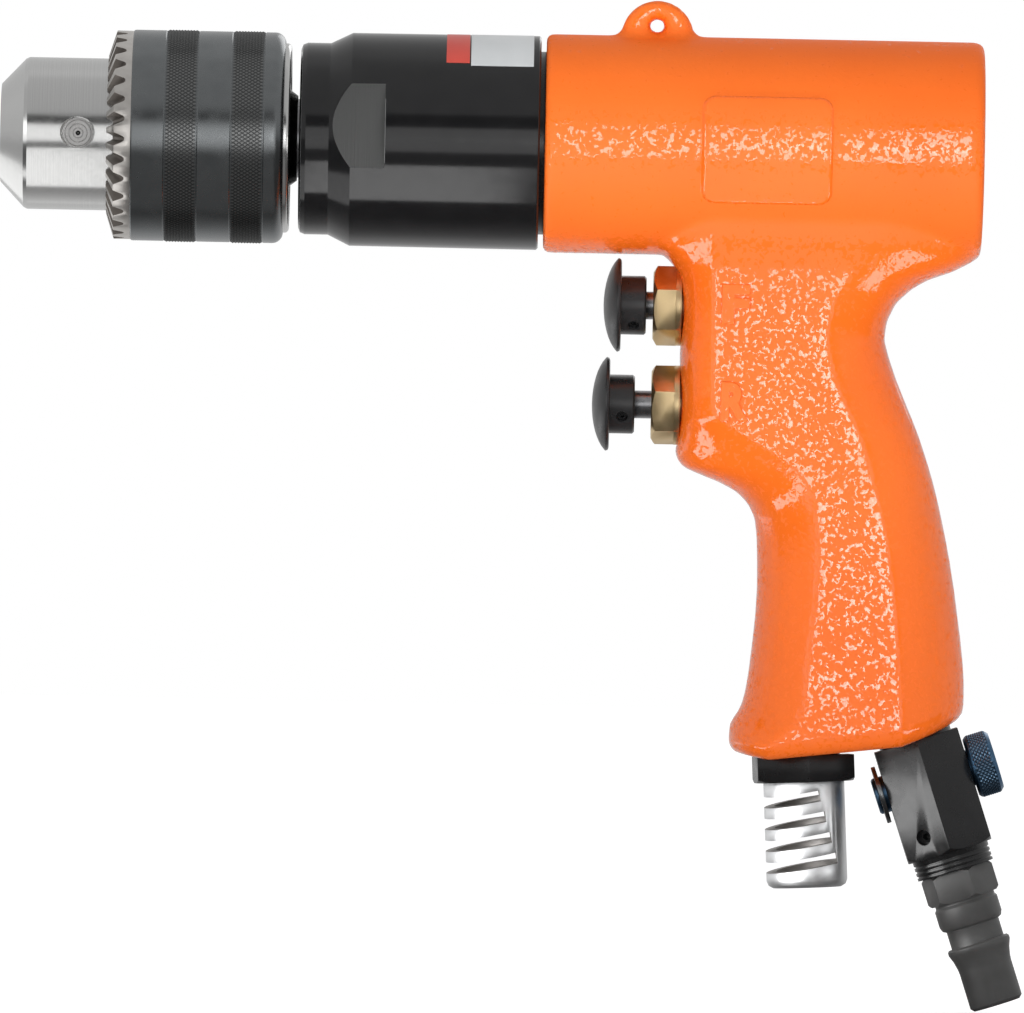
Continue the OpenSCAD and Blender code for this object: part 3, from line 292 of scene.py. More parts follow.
def grain(tree, where, scale, detail=2.0, distortion=0.0):
    noise = tree.nodes.new("ShaderNodeTexNoise")
    noise.inputs["Scale"].default_value = scale
    noise.inputs["Detail"].default_value = detail
    noise.inputs["Distortion"].default_value = distortion
    tree.links.new(where, noise.inputs["Vector"])
    return noise.outputs["Fac"]


def fine_lines(tree, distance, scale, detail):
    """One-dimensional noise: uneven lines that follow one another along a distance."""
    noise = tree.nodes.new("ShaderNodeTexNoise")
    noise.noise_dimensions = "1D"
    noise.inputs["Scale"].default_value = scale
    noise.inputs["Detail"].default_value = detail
    tree.links.new(distance, noise.inputs["W"])
    return noise.outputs["Fac"]


def lathe_rings(tree, where, scale):
    """Lines over distance along the X axis plus distance from it."""
    split = tree.nodes.new("ShaderNodeSeparateXYZ")
    tree.links.new(where, split.inputs[0])
    flat = tree.nodes.new("ShaderNodeCombineXYZ")
    tree.links.new(split.outputs["Y"], flat.inputs["Y"])
    tree.links.new(split.outputs["Z"], flat.inputs["Z"])
    reach = tree.nodes.new("ShaderNodeVectorMath")
    reach.operation = "LENGTH"
    tree.links.new(flat.outputs[0], reach.inputs[0])
    total = combined(tree, "ADD", split.outputs["X"], reach.outputs["Value"])
    return fine_lines(tree, total, scale, 3.0)


def tint(tree, fac, dark, light, socket):
    ramp = tree.nodes.new("ShaderNodeValToRGB")
    ramp.color_ramp.elements[0].position = NOISE_LOW
    ramp.color_ramp.elements[1].position = NOISE_HIGH
    ramp.color_ramp.elements[0].color = (*dark, 1.0)
    ramp.color_ramp.elements[1].color = (*light, 1.0)
    tree.links.new(fac, ramp.inputs["Fac"])
    tree.links.new(ramp.outputs["Color"], socket)


def spread(tree, fac, levels, socket):
    level = tree.nodes.new("ShaderNodeMapRange")
    level.inputs["From Min"].default_value = NOISE_LOW
    level.inputs["From Max"].default_value = NOISE_HIGH
    level.inputs["To Min"].default_value = levels[0]
    level.inputs["To Max"].default_value = levels[1]
    tree.links.new(fac, level.inputs["Value"])
    tree.links.new(level.outputs["Result"], socket)


def relief(tree, shader, height, depth):
    bump = tree.nodes.new("ShaderNodeBump")
    bump.inputs["Strength"].default_value = 1.0
    bump.inputs["Distance"].default_value = depth
    tree.links.new(height, bump.inputs["Height"])
    last = shader.inputs["Normal"].links
    if last:
        tree.links.new(last[0].from_socket, bump.inputs["Normal"])
    tree.links.new(bump.outputs["Normal"], shader.inputs["Normal"])


def marked(tree, name):
    """A mark stored on the mesh, which is 0 where the mesh has none."""
    mark = tree.nodes.new("ShaderNodeAttribute")
    mark.attribute_name = name
    return mark.outputs["Fac"]


def overlaid(tree, shader, fac, colour, rough):
    """Lays another colour and roughness over the finish where fac is 1."""
    mix = tree.nodes.new("ShaderNodeMix")
    mix.data_type = "RGBA"
    tree.links.new(fac, mix.inputs[0])
    tree.links.new(shader.inputs["Base Color"].links[0].from_socket, mix.inputs[6])
    mix.inputs[7].default_value = (*colour, 1.0)
    tree.links.new(mix.outputs[2], shader.inputs["Base Color"])
    before = shader.inputs["Roughness"].links[0].from_socket
    tree.links.new(mixed(tree, fac, before, rough), shader.inputs["Roughness"])


print("finish helpers ready")

# %% [markdown]
# ### Orange casting paint
# The housing is cast and sprayed, and its skin dried to a satin with glossy drops up to a millimetre
# across, dense along the creases of the grip. A noise decides where a drop lies, and a mark on the
# mesh called "gloss" says how much of the skin the drops cover: next to none at 0, about a quarter
# at 0.5, and nearly all of it at 1, as in the inside corners, where the paint ran together.

# %% Orange paint
PAINT_DARK, PAINT_LIGHT = (0.92, 0.152, 0.010), (0.96, 0.172, 0.014)
DROP_EDGE, DROP_COVER, DROP_HEIGHT = (0.78, 0.80), 0.4, 0.00004
SKIN_ROUGH, DROP_ROUGH = 0.60, 0.06
SKIN_SHINE, DROP_SHINE = 0.25, 0.60


def orange_paint():
    material, tree, shader, where = start_finish("orange_paint")
    tint(tree, grain(tree, where, 24.0, detail=3.0), PAINT_DARK, PAINT_LIGHT, shader.inputs["Base Color"])
    drops = grain(tree, where, 1000.0, detail=1.0, distortion=0.6)
    wet = tree.nodes.new("ShaderNodeMapRange")
    wet.inputs["From Min"].default_value = DROP_EDGE[0]
    wet.inputs["From Max"].default_value = DROP_EDGE[1]
    cover = combined(tree, "MULTIPLY", marked(tree, "gloss"), DROP_COVER)
    tree.links.new(combined(tree, "ADD", drops, cover), wet.inputs["Value"])
    on_drop = wet.outputs["Result"]
    tree.links.new(mixed(tree, on_drop, SKIN_ROUGH, DROP_ROUGH), shader.inputs["Roughness"])
    tree.links.new(mixed(tree, on_drop, SKIN_SHINE, DROP_SHINE), shader.inputs["Specular IOR Level"])
    relief(tree, shader, drops, DROP_HEIGHT)
    return material


paint = orange_paint()
print(paint.name, "has", len(paint.node_tree.nodes), "nodes")

# %% [markdown]
# ### Metals, enamel and plastics
# Turned pieces carry faint lathe rings, ground pieces a fine grain, oxide a blotchy tint. Some
# finishes also read marks from their meshes: the floor of a notch or slot gets painted shade, a
# milled flat shows the lines of its cutter, a case edge gets a painted highlight, and a knurl has
# lighter crests between grooves with painted shade. The inner pieces, which only show when the drill
# is taken apart, use the same set.

# %% Metals
METAL_RELIEF = 2e-6
# The colour below is painted shade, laid on the floors of notches and slots.
SHADE_COLOUR, SHADE_ROUGH = (0.24, 0.215, 0.195), 0.5
GROOVE_ROUGH, CREST_ROUGH = 0.42, 0.26


def metal(name, dark, light, rough, ring_scale=0.0, grain_scale=900.0):
    material, tree, shader, where = start_finish(name, metallic=1.0)
    blotch = grain(tree, where, grain_scale, detail=4.0)
    marks = lathe_rings(tree, where, ring_scale) if ring_scale else blotch
    tint(tree, marks, dark, light, shader.inputs["Base Color"])
    spread(tree, blotch, rough, shader.inputs["Roughness"])
    relief(tree, shader, marks, METAL_RELIEF)
    # Marked faces are painted darker here, as shade in notches and slots.
    overlaid(tree, shader, marked(tree, "painted_shade"), SHADE_COLOUR, SHADE_ROUGH)
    return material


def knurled_metal(name, dark, light, rough, groove, crest, grain_scale):
    material = metal(name, dark, light, rough, grain_scale=grain_scale)
    tree = material.node_tree
    shader = tree.nodes["Principled BSDF"]
    # Groove points are painted dark as shade, crest points lighter.
    overlaid(tree, shader, marked(tree, "groove"), groove, GROOVE_ROUGH)
    overlaid(tree, shader, marked(tree, "crest"), crest, CREST_ROUGH)
    return material


crown_steel = metal("crown_steel", (0.56, 0.535, 0.505), (0.64, 0.615, 0.585), (0.30, 0.38),
                    grain_scale=500.0)
# The steel below is painted darker than turned steel, as shade on the floors of the pilot holes.
shaded_floor_steel = metal("shaded_floor_steel", (0.29, 0.285, 0.28), (0.37, 0.365, 0.36), (0.24, 0.32),
                      grain_scale=700.0)
print(crown_steel.name, "and", shaded_floor_steel.name, "made")

# %% Enamel and plastics
CUTTER_SCALE, CUTTER_RELIEF = 1900.0, 0.00012
MILLED_COLOUR, MILLED_ROUGH = (0.050, 0.051, 0.050), 0.38
# The colour below is a painted highlight, a light grey on edges of the gear case.
EDGE_HIGHLIGHT_COLOUR, EDGE_HIGHLIGHT_ROUGH = (0.42, 0.43, 0.43), 0.4


def moulded(name, dark, light, rough, grain_scale=1500.0, depth=1.2e-5):
    material, tree, shader, where = start_finish(name)
    tint(tree, grain(tree, where, grain_scale / 12, detail=4.0), dark, light, shader.inputs["Base Color"])
    spread(tree, grain(tree, where, grain_scale / 5, detail=3.0), rough, shader.inputs["Roughness"])
    relief(tree, shader, grain(tree, where, grain_scale), depth)
    return material


def case_enamel():
    material = moulded("black_case_enamel", (0.005, 0.005, 0.0055), (0.008, 0.008, 0.0085), (0.11, 0.15),
                       2200.0, 2e-6)
    tree = material.node_tree
    shader = tree.nodes["Principled BSDF"]
    where = tree.nodes.new("ShaderNodeTexCoord").outputs["Object"]
    cutter = fine_lines(tree, part_of(tree, where, "X"), CUTTER_SCALE, 4.0)
    milled = marked(tree, "milled")
    overlaid(tree, shader, milled, MILLED_COLOUR, MILLED_ROUGH)
    # Marked faces get a painted highlight in light grey.
    overlaid(tree, shader, marked(tree, "edge_highlight"), EDGE_HIGHLIGHT_COLOUR, EDGE_HIGHLIGHT_ROUGH)
    relief(tree, shader, combined(tree, "MULTIPLY", cutter, milled), CUTTER_RELIEF)
    return material


black_oxide = moulded("black_oxide", (0.006, 0.006, 0.0065), (0.010, 0.010, 0.0105), (0.20, 0.30),
                      1800.0, 3e-6)
phosphate = moulded("phosphate_steel", (0.050, 0.050, 0.049), (0.075, 0.075, 0.074), (0.36, 0.50),
                    1400.0, 8e-6)
print(black_oxide.name, "and", phosphate.name, "made")

# %% Finishes by slot
finishes = {
    "orange_casting": paint,
    "black_case": case_enamel(),
    "dark_steel": knurled_metal("oxide_steel", (0.180, 0.190, 0.195), (0.205, 0.215, 0.220), (0.23, 0.29),
                                (0.045, 0.046, 0.047), (0.23, 0.23, 0.226), 260.0),
    "bright_steel": metal("turned_steel", (0.58, 0.58, 0.575), (0.64, 0.64, 0.63), (0.16, 0.21), 5200.0),
    "gear_steel": metal("ground_steel", (0.30, 0.30, 0.31), (0.42, 0.42, 0.43), (0.25, 0.36)),
    "iron": metal("cast_iron", (0.16, 0.16, 0.165), (0.24, 0.24, 0.245), (0.40, 0.55)),
    "brass": metal("machined_brass", (0.74, 0.55, 0.29), (0.84, 0.64, 0.365), (0.30, 0.40),
                   grain_scale=420.0),
    "black_plastic": moulded("button_plastic", (0.014, 0.014, 0.0145), (0.023, 0.023, 0.024), (0.26, 0.36)),
    "vane_plastic": moulded("vane_fibre", (0.20, 0.10, 0.05), (0.30, 0.16, 0.08), (0.5, 0.65), 700.0),
    "seal_rubber": moulded("seal_rubber", (0.012, 0.012, 0.012), (0.022, 0.022, 0.022), (0.5, 0.65)),
    "muffler_metal": metal("zinc_tube", (0.74, 0.75, 0.76), (0.86, 0.865, 0.87), (0.36, 0.48),
                           grain_scale=220.0),
    "blued_steel": knurled_metal("blued_steel", (0.05, 0.11, 0.19), (0.10, 0.19, 0.31), (0.26, 0.40),
                                 (0.03, 0.065, 0.115), (0.26, 0.40, 0.55), 320.0),
}
OXIDISED = ["inlet_body", "muffler_nut", "ring_gear",
            "forward_grub_screw", "reverse_grub_screw", "inlet_screw"]
own_finish = {"plug": phosphate}
for name in OXIDISED:
    own_finish[name] = black_oxide
slot_of_node = {row["node"]: row["material_slot"] for row in frame["record"]["subparts"]}
finish_of_node = {name: own_finish.get(name, finishes[slot_of_node[name]]) for name in nodes}
for name, node in nodes.items():
    node.data.materials.clear()
    node.data.materials.append(finish_of_node[name])
print("finishes on", len(nodes), "nodes")

# %% [markdown]
# ## Broken edges
# No real edge is perfectly sharp: a turned or milled edge is broken, and that thin line of light is
# what makes a piece look made. A CAD node is loose triangles, so a copy is merged first, its flat
# faces are joined again, its sharp edges are bevelled, and the copy then stands for the node.

# %% Edge helpers
MERGE_DISTANCE = 3e-6
FLAT_ANGLE, SHARP_ANGLE = math.radians(0.5), math.radians(28.0)


def merged_copy(node):
    bm = bmesh.new()
    bm.from_mesh(nodes[node].data)
    bmesh.ops.remove_doubles(bm, verts=bm.verts, dist=MERGE_DISTANCE)
    bmesh.ops.dissolve_limit(bm, angle_limit=FLAT_ANGLE, verts=bm.verts, edges=bm.edges)
    return bm


def is_sharp(edge, angle):
    return len(edge.link_faces) == 2 and edge.calc_face_angle(0.0) > angle


def break_edges(bm, width):
    sharp = [edge for edge in bm.edges if is_sharp(edge, SHARP_ANGLE)]
    bmesh.ops.bevel(bm, geom=sharp, offset=width * MM, offset_type="OFFSET", segments=2, profile=0.5,
                    affect="EDGES", clamp_overlap=True, material=-1)


def place_piece(bm, name, body, finish, stands_for=(), smooth=35.0):
    for face in bm.faces:
        face.smooth = True
    for edge in bm.edges:
        edge.smooth = not is_sharp(edge, math.radians(smooth))
    mesh = bpy.data.meshes.new(name)
    bm.to_mesh(mesh)
    bm.free()
    mesh.materials.append(finish)
    piece = bpy.data.objects.new(name, mesh)
    bpy.context.scene.collection.objects.link(piece)
    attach(piece, body)
    if stands_for:
        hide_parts(*stands_for)
    print(f"{name}: {len(mesh.polygons)} faces on {body}")


def stand_in(bm, node, smooth=35.0):
    """Places a remade node under its own finish and body."""
    finish, slot = finish_of_node[node], slot_of_node[node]
    place_piece(bm, node + "_made", body_of_node[node], finish, [node], smooth)


def soften(node, width, smooth=35.0):
    bm = merged_copy(node)
    break_edges(bm, width)
    stand_in(bm, node, smooth)


print("edges over", round(math.degrees(SHARP_ANGLE)), "degrees count as sharp")

# %% Softened pieces
EDGE_BREAKS = {
    "ring_gear": 0.1, "forward_cap": 0.15, "reverse_cap": 0.15,
    "forward_stem": 0.15, "reverse_stem": 0.15, "forward_button": 0.2, "reverse_button": 0.2,
    "forward_grub_screw": 0.05, "reverse_grub_screw": 0.05, "muffler_nut": 0.25,
    "inlet_body": 0.2, "inlet_screw": 0.05, "plug": 0.15, "regulator_clip": 0.06,
    "jaw_1": 0.12, "jaw_2": 0.12, "jaw_3": 0.12,
}
for node, width in EDGE_BREAKS.items():
    soften(node, width)
soften("chuck_body", 0.15, smooth=12.0)

# %% [markdown]
# ### The gear case and the muffler tube
# Two pieces need marks as well as broken edges. The gear case has a milled spanner flat and a
# painted highlight on the wall where the cutter stopped, fainter on its front rim, and the muffler
# tube gets painted shade inside and on the walls of its slots. A mark is a number stored on each
# face, which the finish reads by its name.

# %% Gear case
FLAT_FROM_X, FLAT_Y = 71.2, (20.5, 21.4)
STOP_X, STOP_FROM_Y = (82.7, 83.4), 21.2
RIM_TO_X = 65.2
FLAT_FACING, STOP_SLOPE, RIM_SLOPE = 0.985, (0.1, 0.97), (0.15, 0.9)
# The wall where the cutter stopped gets a strong painted highlight, the front rim a faint one.
STOP_HIGHLIGHT, RIM_HIGHLIGHT = 0.9, 0.25


def on_flat(face, middle):
    faces_side = abs(face.normal.y) > FLAT_FACING
    return faces_side and FLAT_Y[0] < abs(middle.y) < FLAT_Y[1] and middle.x > FLAT_FROM_X


def on_stop(face, middle):
    slopes = STOP_SLOPE[0] < abs(face.normal.x) < STOP_SLOPE[1]
    return slopes and STOP_X[0] < middle.x < STOP_X[1] and abs(middle.y) > STOP_FROM_Y


def on_rim(face, middle):
    slopes = RIM_SLOPE[0] < abs(face.normal.x) < RIM_SLOPE[1]
    return slopes and middle.x < RIM_TO_X


case = merged_copy("gear_case")
break_edges(case, 0.25)
for mark in ("milled", "edge_highlight"):
    case.faces.layers.float.new(mark)
milled, edge_highlight = (case.faces.layers.float[mark] for mark in ("milled", "edge_highlight"))
for face in case.faces:
    middle = face.calc_center_median() / MM
    face[milled] = float(on_flat(face, middle))
    face[edge_highlight] = STOP_HIGHLIGHT * on_stop(face, middle) + RIM_HIGHLIGHT * on_rim(face, middle)
stand_in(case, "gear_case", 12.0)

# %% Muffler tube
MUFFLER_AT = Vector((175.8, 0.0, -131.1)) * MM
MUFFLER_LEAN = math.radians(3.0)
MUFFLER_ALONG = Vector((math.sin(MUFFLER_LEAN), 0.0, -math.cos(MUFFLER_LEAN)))
MUFFLER_SKIN_R, MUFFLER_CAP = 7.6 * MM, 26.5 * MM
FACING_OUT, FACING_DOWN = 0.5, 0.9
SLOT_SHADE = 0.75

tube = merged_copy("muffler_tube")
break_edges(tube, 0.12)
painted_shade = tube.faces.layers.float.new("painted_shade")
for face in tube.faces:
    reach = face.calc_center_median() - MUFFLER_AT
    along = reach.dot(MUFFLER_ALONG)
    off_axis = reach - MUFFLER_ALONG * along
    faces_out = face.normal.dot(off_axis.normalized()) > FACING_OUT
    faces_down = face.normal.dot(MUFFLER_ALONG) > FACING_DOWN
    outside = (faces_out or faces_down) and off_axis.length > MUFFLER_SKIN_R
    # Faces inside the tube and on the walls of its slots get painted shade.
    face[painted_shade] = 0.0 if outside or along > MUFFLER_CAP else SLOT_SHADE
stand_in(tube, "muffler_tube")

# %% [markdown]
# ## The housing
# The casting is one flowing body: barrel, lug, valve block and grip run into each other with
# fillets that a modelled solid lacks. A voxel remesh turns the merged copy into one even skin, and
# smoothing then works like filler: a light pass takes off the facets, and many passes around the
# inside corners leave the broad fillets of a casting. The machined ends, where the valves, muffler
# and inlet sit, and the plate keep their edges.

# %% Even skin
VOXEL = 0.82 * MM
LIGHT_PASSES = 2


def even_skin(bm, voxel):
    raw_mesh = bpy.data.meshes.new("raw_casting")
    bm.to_mesh(raw_mesh)
    bm.free()
    raw = bpy.data.objects.new("raw_casting", raw_mesh)
    bpy.context.scene.collection.objects.link(raw)
    remesh = raw.modifiers.new("voxels", "REMESH")
    remesh.mode = "VOXEL"
    remesh.voxel_size = voxel
    seen = raw.evaluated_get(bpy.context.evaluated_depsgraph_get())
    even = bpy.data.meshes.new_from_object(seen)
    bpy.data.objects.remove(raw)
    skin = bmesh.new()
    skin.from_mesh(even)
    return skin


def smooth_passes(bm, verts, passes):
    for _ in range(passes):
        bmesh.ops.smooth_vert(bm, verts=verts, factor=0.5,
                              use_axis_x=True, use_axis_y=True, use_axis_z=True)


casting = even_skin(merged_copy("housing"), VOXEL)
smooth_passes(casting, casting.verts, LIGHT_PASSES)
casting.normal_update()
print("even skin with", len(casting.faces), "faces")

# %% Fillets
PLATE_LOW = Vector((150.0, -40.0, -14.5)) * MM
PLATE_HIGH = Vector((181.5, -14.0, 13.5)) * MM
BOTTOM_END_Z = -118.0 * MM
VALVE_FACE_X, VALVE_FACE_Z = 151.5 * MM, -27.0 * MM
HOLLOW = 0.06 * MM
FILLET_RINGS, FILLET_PASSES = 4, 17


def on_plate(co):
    return all(PLATE_LOW[i] < co[i] < PLATE_HIGH[i] for i in range(3))


def inside_corner(vert):
    around = sum((e.other_vert(vert).co for e in vert.link_edges), Vector()) / len(vert.link_edges)
    return (around - vert.co).dot(vert.normal) > HOLLOW


def kept_edge(co):
    machined = co.z < BOTTOM_END_Z or (co.x < VALVE_FACE_X and co.z < VALVE_FACE_Z)
    return machined or on_plate(co)


chosen = {v for v in casting.verts if inside_corner(v) and not kept_edge(v.co)}
for _ in range(FILLET_RINGS):
    chosen |= {e.other_vert(v) for v in chosen for e in v.link_edges}
chosen = [v for v in chosen if not kept_edge(v.co)]
smooth_passes(casting, chosen, FILLET_PASSES)
casting.normal_update()
print("filleted", len(chosen), "points of the skin")

# %% [markdown]
# The grip's flat side lies between two creases, so their outlines are repeated here as distance
# behind the barrel's front against depth below the axis. Each crease carries a low bead, and the
# drops of paint lie closer together there.

# %% Creases
BARREL_FRONT = 117.4
CREASE_FRONT = [(12, 36.6), (58, 37.2), (63, 45), (69, 55.8), (76, 59.8), (89, 60.9),
                (113, 58.8), (120, 58.2), (128, 51), (140, 46)]
CREASE_REAR = [(12, 76), (24, 70), (33, 62.8), (40, 61.4), (48, 62.6), (63, 69.2),
               (84, 75.4), (115, 79), (140, 80)]
CREASE_BEAD, BEAD_WIDTH = 0.05 * MM, 0.8
SIDE_TOP, SIDE_TOP_FADE = 20.5, 2.5
SIDE_Y, SIDE_Y_FADE = 11.0, 1.5


def outline_at(points, depth):
    for (d0, x0), (d1, x1) in zip(points, points[1:]):
        if depth <= d1:
            return x0 + (x1 - x0) * max(0.0, (depth - d0) / (d1 - d0))
    return points[-1][1]


def eased(value):
    u = max(0.0, min(1.0, value))
    return u * u * (3 - 2 * u)


def bell(off, width):
    return math.exp(-(off / width) ** 2)


def beside_creases(co):
    """How far a point lies behind the front crease and before the rear one, and on the flat side."""
    x, depth = co.x / MM - BARREL_FRONT, -co.z / MM
    flat_side = eased((depth - SIDE_TOP) / SIDE_TOP_FADE) * eased((abs(co.y) / MM - SIDE_Y) / SIDE_Y_FADE)
    return x - outline_at(CREASE_FRONT, depth), outline_at(CREASE_REAR, depth) - x, flat_side


def bead_at(co):
    front, rear, flat_side = beside_creases(co)
    return CREASE_BEAD * (bell(front, BEAD_WIDTH) + bell(rear, BEAD_WIDTH)) * flat_side


print("creases with", len(CREASE_FRONT), "and", len(CREASE_REAR), "points")

# %% Gloss on the casting
SKIN_GLOSS, PANEL_GLOSS, CREASE_GLOSS = 0.2, 0.50, 0.22
GRIP_TOP, GRIP_FADE, PANEL_FADE = 18.0, 4.0, 1.4
FRONT_LINE, REAR_LINE = 0.8, 1.1
BAND_Z, BAND_HALF, BAND_FADE, BAND_GLOSS = 0.6, 7.2, 2.0, 0.33
BAND_GAINS = [(138.0, 8.0, 0.04), (186.0, 10.0, 0.12)]
LUG_FOOT, LUG_GLOSS = 24.0, 0.42


def in_band(off):
    """1 in the dotted band along the barrel, fading out above and below it."""
    return eased((BAND_HALF - abs(off)) / BAND_FADE)


def barrel_gloss(along, high):
    gain = sum(more * eased((along - start) / length) for start, length, more in BAND_GAINS)
    return SKIN_GLOSS + in_band(high - BAND_Z) * (BAND_GLOSS + gain) + LUG_GLOSS * eased(high - LUG_FOOT)


def gloss_at(co):
    front, rear, flat_side = beside_creases(co)
    zone = eased(front / PANEL_FADE + 0.5) * eased(rear / PANEL_FADE + 0.5) * flat_side
    lines = bell(front - FRONT_LINE, FRONT_LINE) + bell(rear - REAR_LINE, REAR_LINE)
    barrel = barrel_gloss(co.x / MM, co.z / MM)
    grip = PANEL_GLOSS * zone + 1.0 - zone
    on_grip = eased((-co.z / MM - GRIP_TOP) / GRIP_FADE)
    return min(1.0, barrel + (grip - barrel) * on_grip + CREASE_GLOSS * lines * flat_side)


gloss = casting.verts.layers.float.new("gloss")
for vert in casting.verts:
    vert[gloss] = gloss_at(vert.co)
    vert.co += vert.normal * bead_at(vert.co)
place_piece(casting, "housing_casting", "housing", paint, ["housing"], 80.0)

# %% [markdown]
# ### The bare plate
# A low plate with rounded corners and sloping sides stands on the barrel. It starts flat, as one
# face with rounded corners. Insets that rise a little each time make its slope, cuts divide it into
# strips, and the strips are then rolled around the barrel.

# %% Bare plate
BARREL_R = 23.6
PLATE_HALF_LONG, PLATE_HALF_WIDE, PLATE_CORNER = 14.45, 12.35, 3.35
PLATE_FOOT = -0.06
PLATE_SLOPE = [(0.2, 0.06), (0.15, 0.09), (0.2, 0.24), (0.22, 0.22),
               (0.28, 0.13), (0.25, 0.04), (0.25, 0.01)]
PLATE_ALONG, PLATE_AROUND = 165.3, -1.1
PLATE_STRIP, PLATE_STRIPS = 0.55, 22
PLATE_RIM, PLATE_RIM_FADE, PLATE_GLOSS = 0.68, 0.05, 0.37


def rolled(co, along, around, radius):
    a = (co.y + around) / radius
    reach = radius + co.z
    return Vector((co.x + along, -reach * math.cos(a), reach * math.sin(a))) * MM


plate = bmesh.new()
bmesh.ops.create_grid(plate, x_segments=1, y_segments=1, size=1.0)
bmesh.ops.scale(plate, verts=plate.verts, vec=(PLATE_HALF_LONG, PLATE_HALF_WIDE, 1.0))
bmesh.ops.translate(plate, verts=plate.verts, vec=(0.0, 0.0, PLATE_FOOT))
bmesh.ops.bevel(plate, geom=plate.verts[:], offset=PLATE_CORNER, offset_type="OFFSET", segments=6,
                profile=0.5, affect="VERTICES", clamp_overlap=True, material=-1)
top = plate.faces[:]
for inwards, rise in PLATE_SLOPE:
    bmesh.ops.inset_region(plate, faces=top, thickness=inwards, depth=rise,
                           use_boundary=True, use_even_offset=True)
for k in range(-PLATE_STRIPS, PLATE_STRIPS + 1):
    bmesh.ops.bisect_plane(plate, geom=plate.verts[:] + plate.edges[:] + plate.faces[:], dist=1e-6,
                           plane_co=(0, PLATE_STRIP * k, 0), plane_no=(0, 1, 0))
gloss = plate.verts.layers.float.new("gloss")
for vert in plate.verts:
    on_edge = 1.0 - eased((vert.co.z - PLATE_RIM) / PLATE_RIM_FADE)
    vert[gloss] = max(on_edge, SKIN_GLOSS + PLATE_GLOSS * in_band(vert.co.y + PLATE_AROUND - BAND_Z))
    vert.co = rolled(vert.co, PLATE_ALONG, PLATE_AROUND, BARREL_R)
bmesh.ops.recalc_face_normals(plate, faces=plate.faces)
place_piece(plate, "bare_plate", "housing", paint)

# %% [markdown]
# ### Raised switch letters
# Two plain raised letters beside the buttons say which way the drill turns: F for forward and R for
# reverse. Blender's own text gives the outlines; they are thickened, given sloping sides, made a
# mesh and set into the grip's flat side.

# %% Letters
LETTER_WIDE, LETTER_HIGH, LETTER_DEEP = 6.2 * MM, 8.6 * MM, 1.0 * MM
LETTER_RIM = 0.05 * MM
FONT_FATTER, FONT_THICK, FONT_BEVEL = 0.03, 0.045, 0.035
LETTER_PLACES = {"F": Vector((159.2, -15.05, -34.1)) * MM, "R": Vector((159.4, -15.0, -55.1)) * MM}


def letter_mesh(letter):
    words = bpy.data.curves.new("letter_" + letter, "FONT")
    words.body = letter
    words.offset = FONT_FATTER
    words.extrude = FONT_THICK
    words.bevel_depth = FONT_BEVEL
    words.bevel_resolution = 2
    flat = bpy.data.objects.new("letter_" + letter, words)
    bpy.context.scene.collection.objects.link(flat)
    seen = flat.evaluated_get(bpy.context.evaluated_depsgraph_get())
    mesh = bpy.data.meshes.new_from_object(seen)
    bpy.data.objects.remove(flat)
    bm = bmesh.new()
    bm.from_mesh(mesh)
    bmesh.ops.remove_doubles(bm, verts=bm.verts, dist=1e-5)
    return bm


def raised_letter(letter, place):
    bm = letter_mesh(letter)
    low = Vector([min(v.co[i] for v in bm.verts) for i in range(3)])
    high = Vector([max(v.co[i] for v in bm.verts) for i in range(3)])
    size = high - low
    stretch = (LETTER_WIDE / size.x, LETTER_HIGH / size.y, LETTER_DEEP / size.z)
    bmesh.ops.translate(bm, verts=bm.verts, vec=-(low + high) / 2)
    bmesh.ops.scale(bm, verts=bm.verts, vec=stretch)
    bmesh.ops.rotate(bm, verts=bm.verts, matrix=Matrix.Rotation(math.pi / 2, 3, "X"))
    bmesh.ops.translate(bm, verts=bm.verts, vec=place)
    gloss = bm.verts.layers.float.new("gloss")
    top = min(vert.co.y for vert in bm.verts)
    for vert in bm.verts:
        vert[gloss] = SKIN_GLOSS if vert.co.y < top + LETTER_RIM else 1.0
    place_piece(bm, "letter_" + letter, "housing", paint, (), 50.0)


for letter, place in LETTER_PLACES.items():
    raised_letter(letter, place)

# %% [markdown]
# ## The two-tone sticker
# A blank sticker, red and silver, is wrapped around the top of the gear case. Each half is a flat
# grid bent around the case's axis and given the thickness of foil.

# %% Sticker
CASE_R, CASE_CONE_END, CASE_TAPER = 23.0, 75.6, 0.1 / 40.3
FOIL_LIFT, FOIL_THICK = 0.06, 0.05


def sticker(name, x_low, x_high, near, far, finish):
    bm = bmesh.new()
    bmesh.ops.create_grid(bm, x_segments=4, y_segments=40, size=0.5)
    for vert in bm.verts:
        a = math.radians(near + (far - near) * (vert.co.y + 0.5))
        along = x_low + (x_high - x_low) * (vert.co.x + 0.5)
        reach = CASE_R + CASE_TAPER * (along - CASE_CONE_END) + FOIL_LIFT
        vert.co = Vector((along, -reach * math.sin(a), reach * math.cos(a))) * MM
    bmesh.ops.recalc_face_normals(bm, faces=bm.faces)
    bmesh.ops.solidify(bm, geom=bm.faces[:], thickness=FOIL_THICK * MM)
    place_piece(bm, name, body_of_node["gear_case"], finish)


red_foil = moulded("red_foil", (0.62, 0.060, 0.040), (0.70, 0.080, 0.052), (0.30, 0.42), 900.0, 2e-6)
silver_foil = moulded("silver_foil", (0.58, 0.60, 0.61), (0.68, 0.70, 0.71), (0.30, 0.42), 900.0, 2e-6)
sticker("sticker_red", 95.9, 100.9, 44.0, -20.0, red_foil)
sticker("sticker_silver", 101.2, 114.7, 46.0, -20.0, silver_foil)

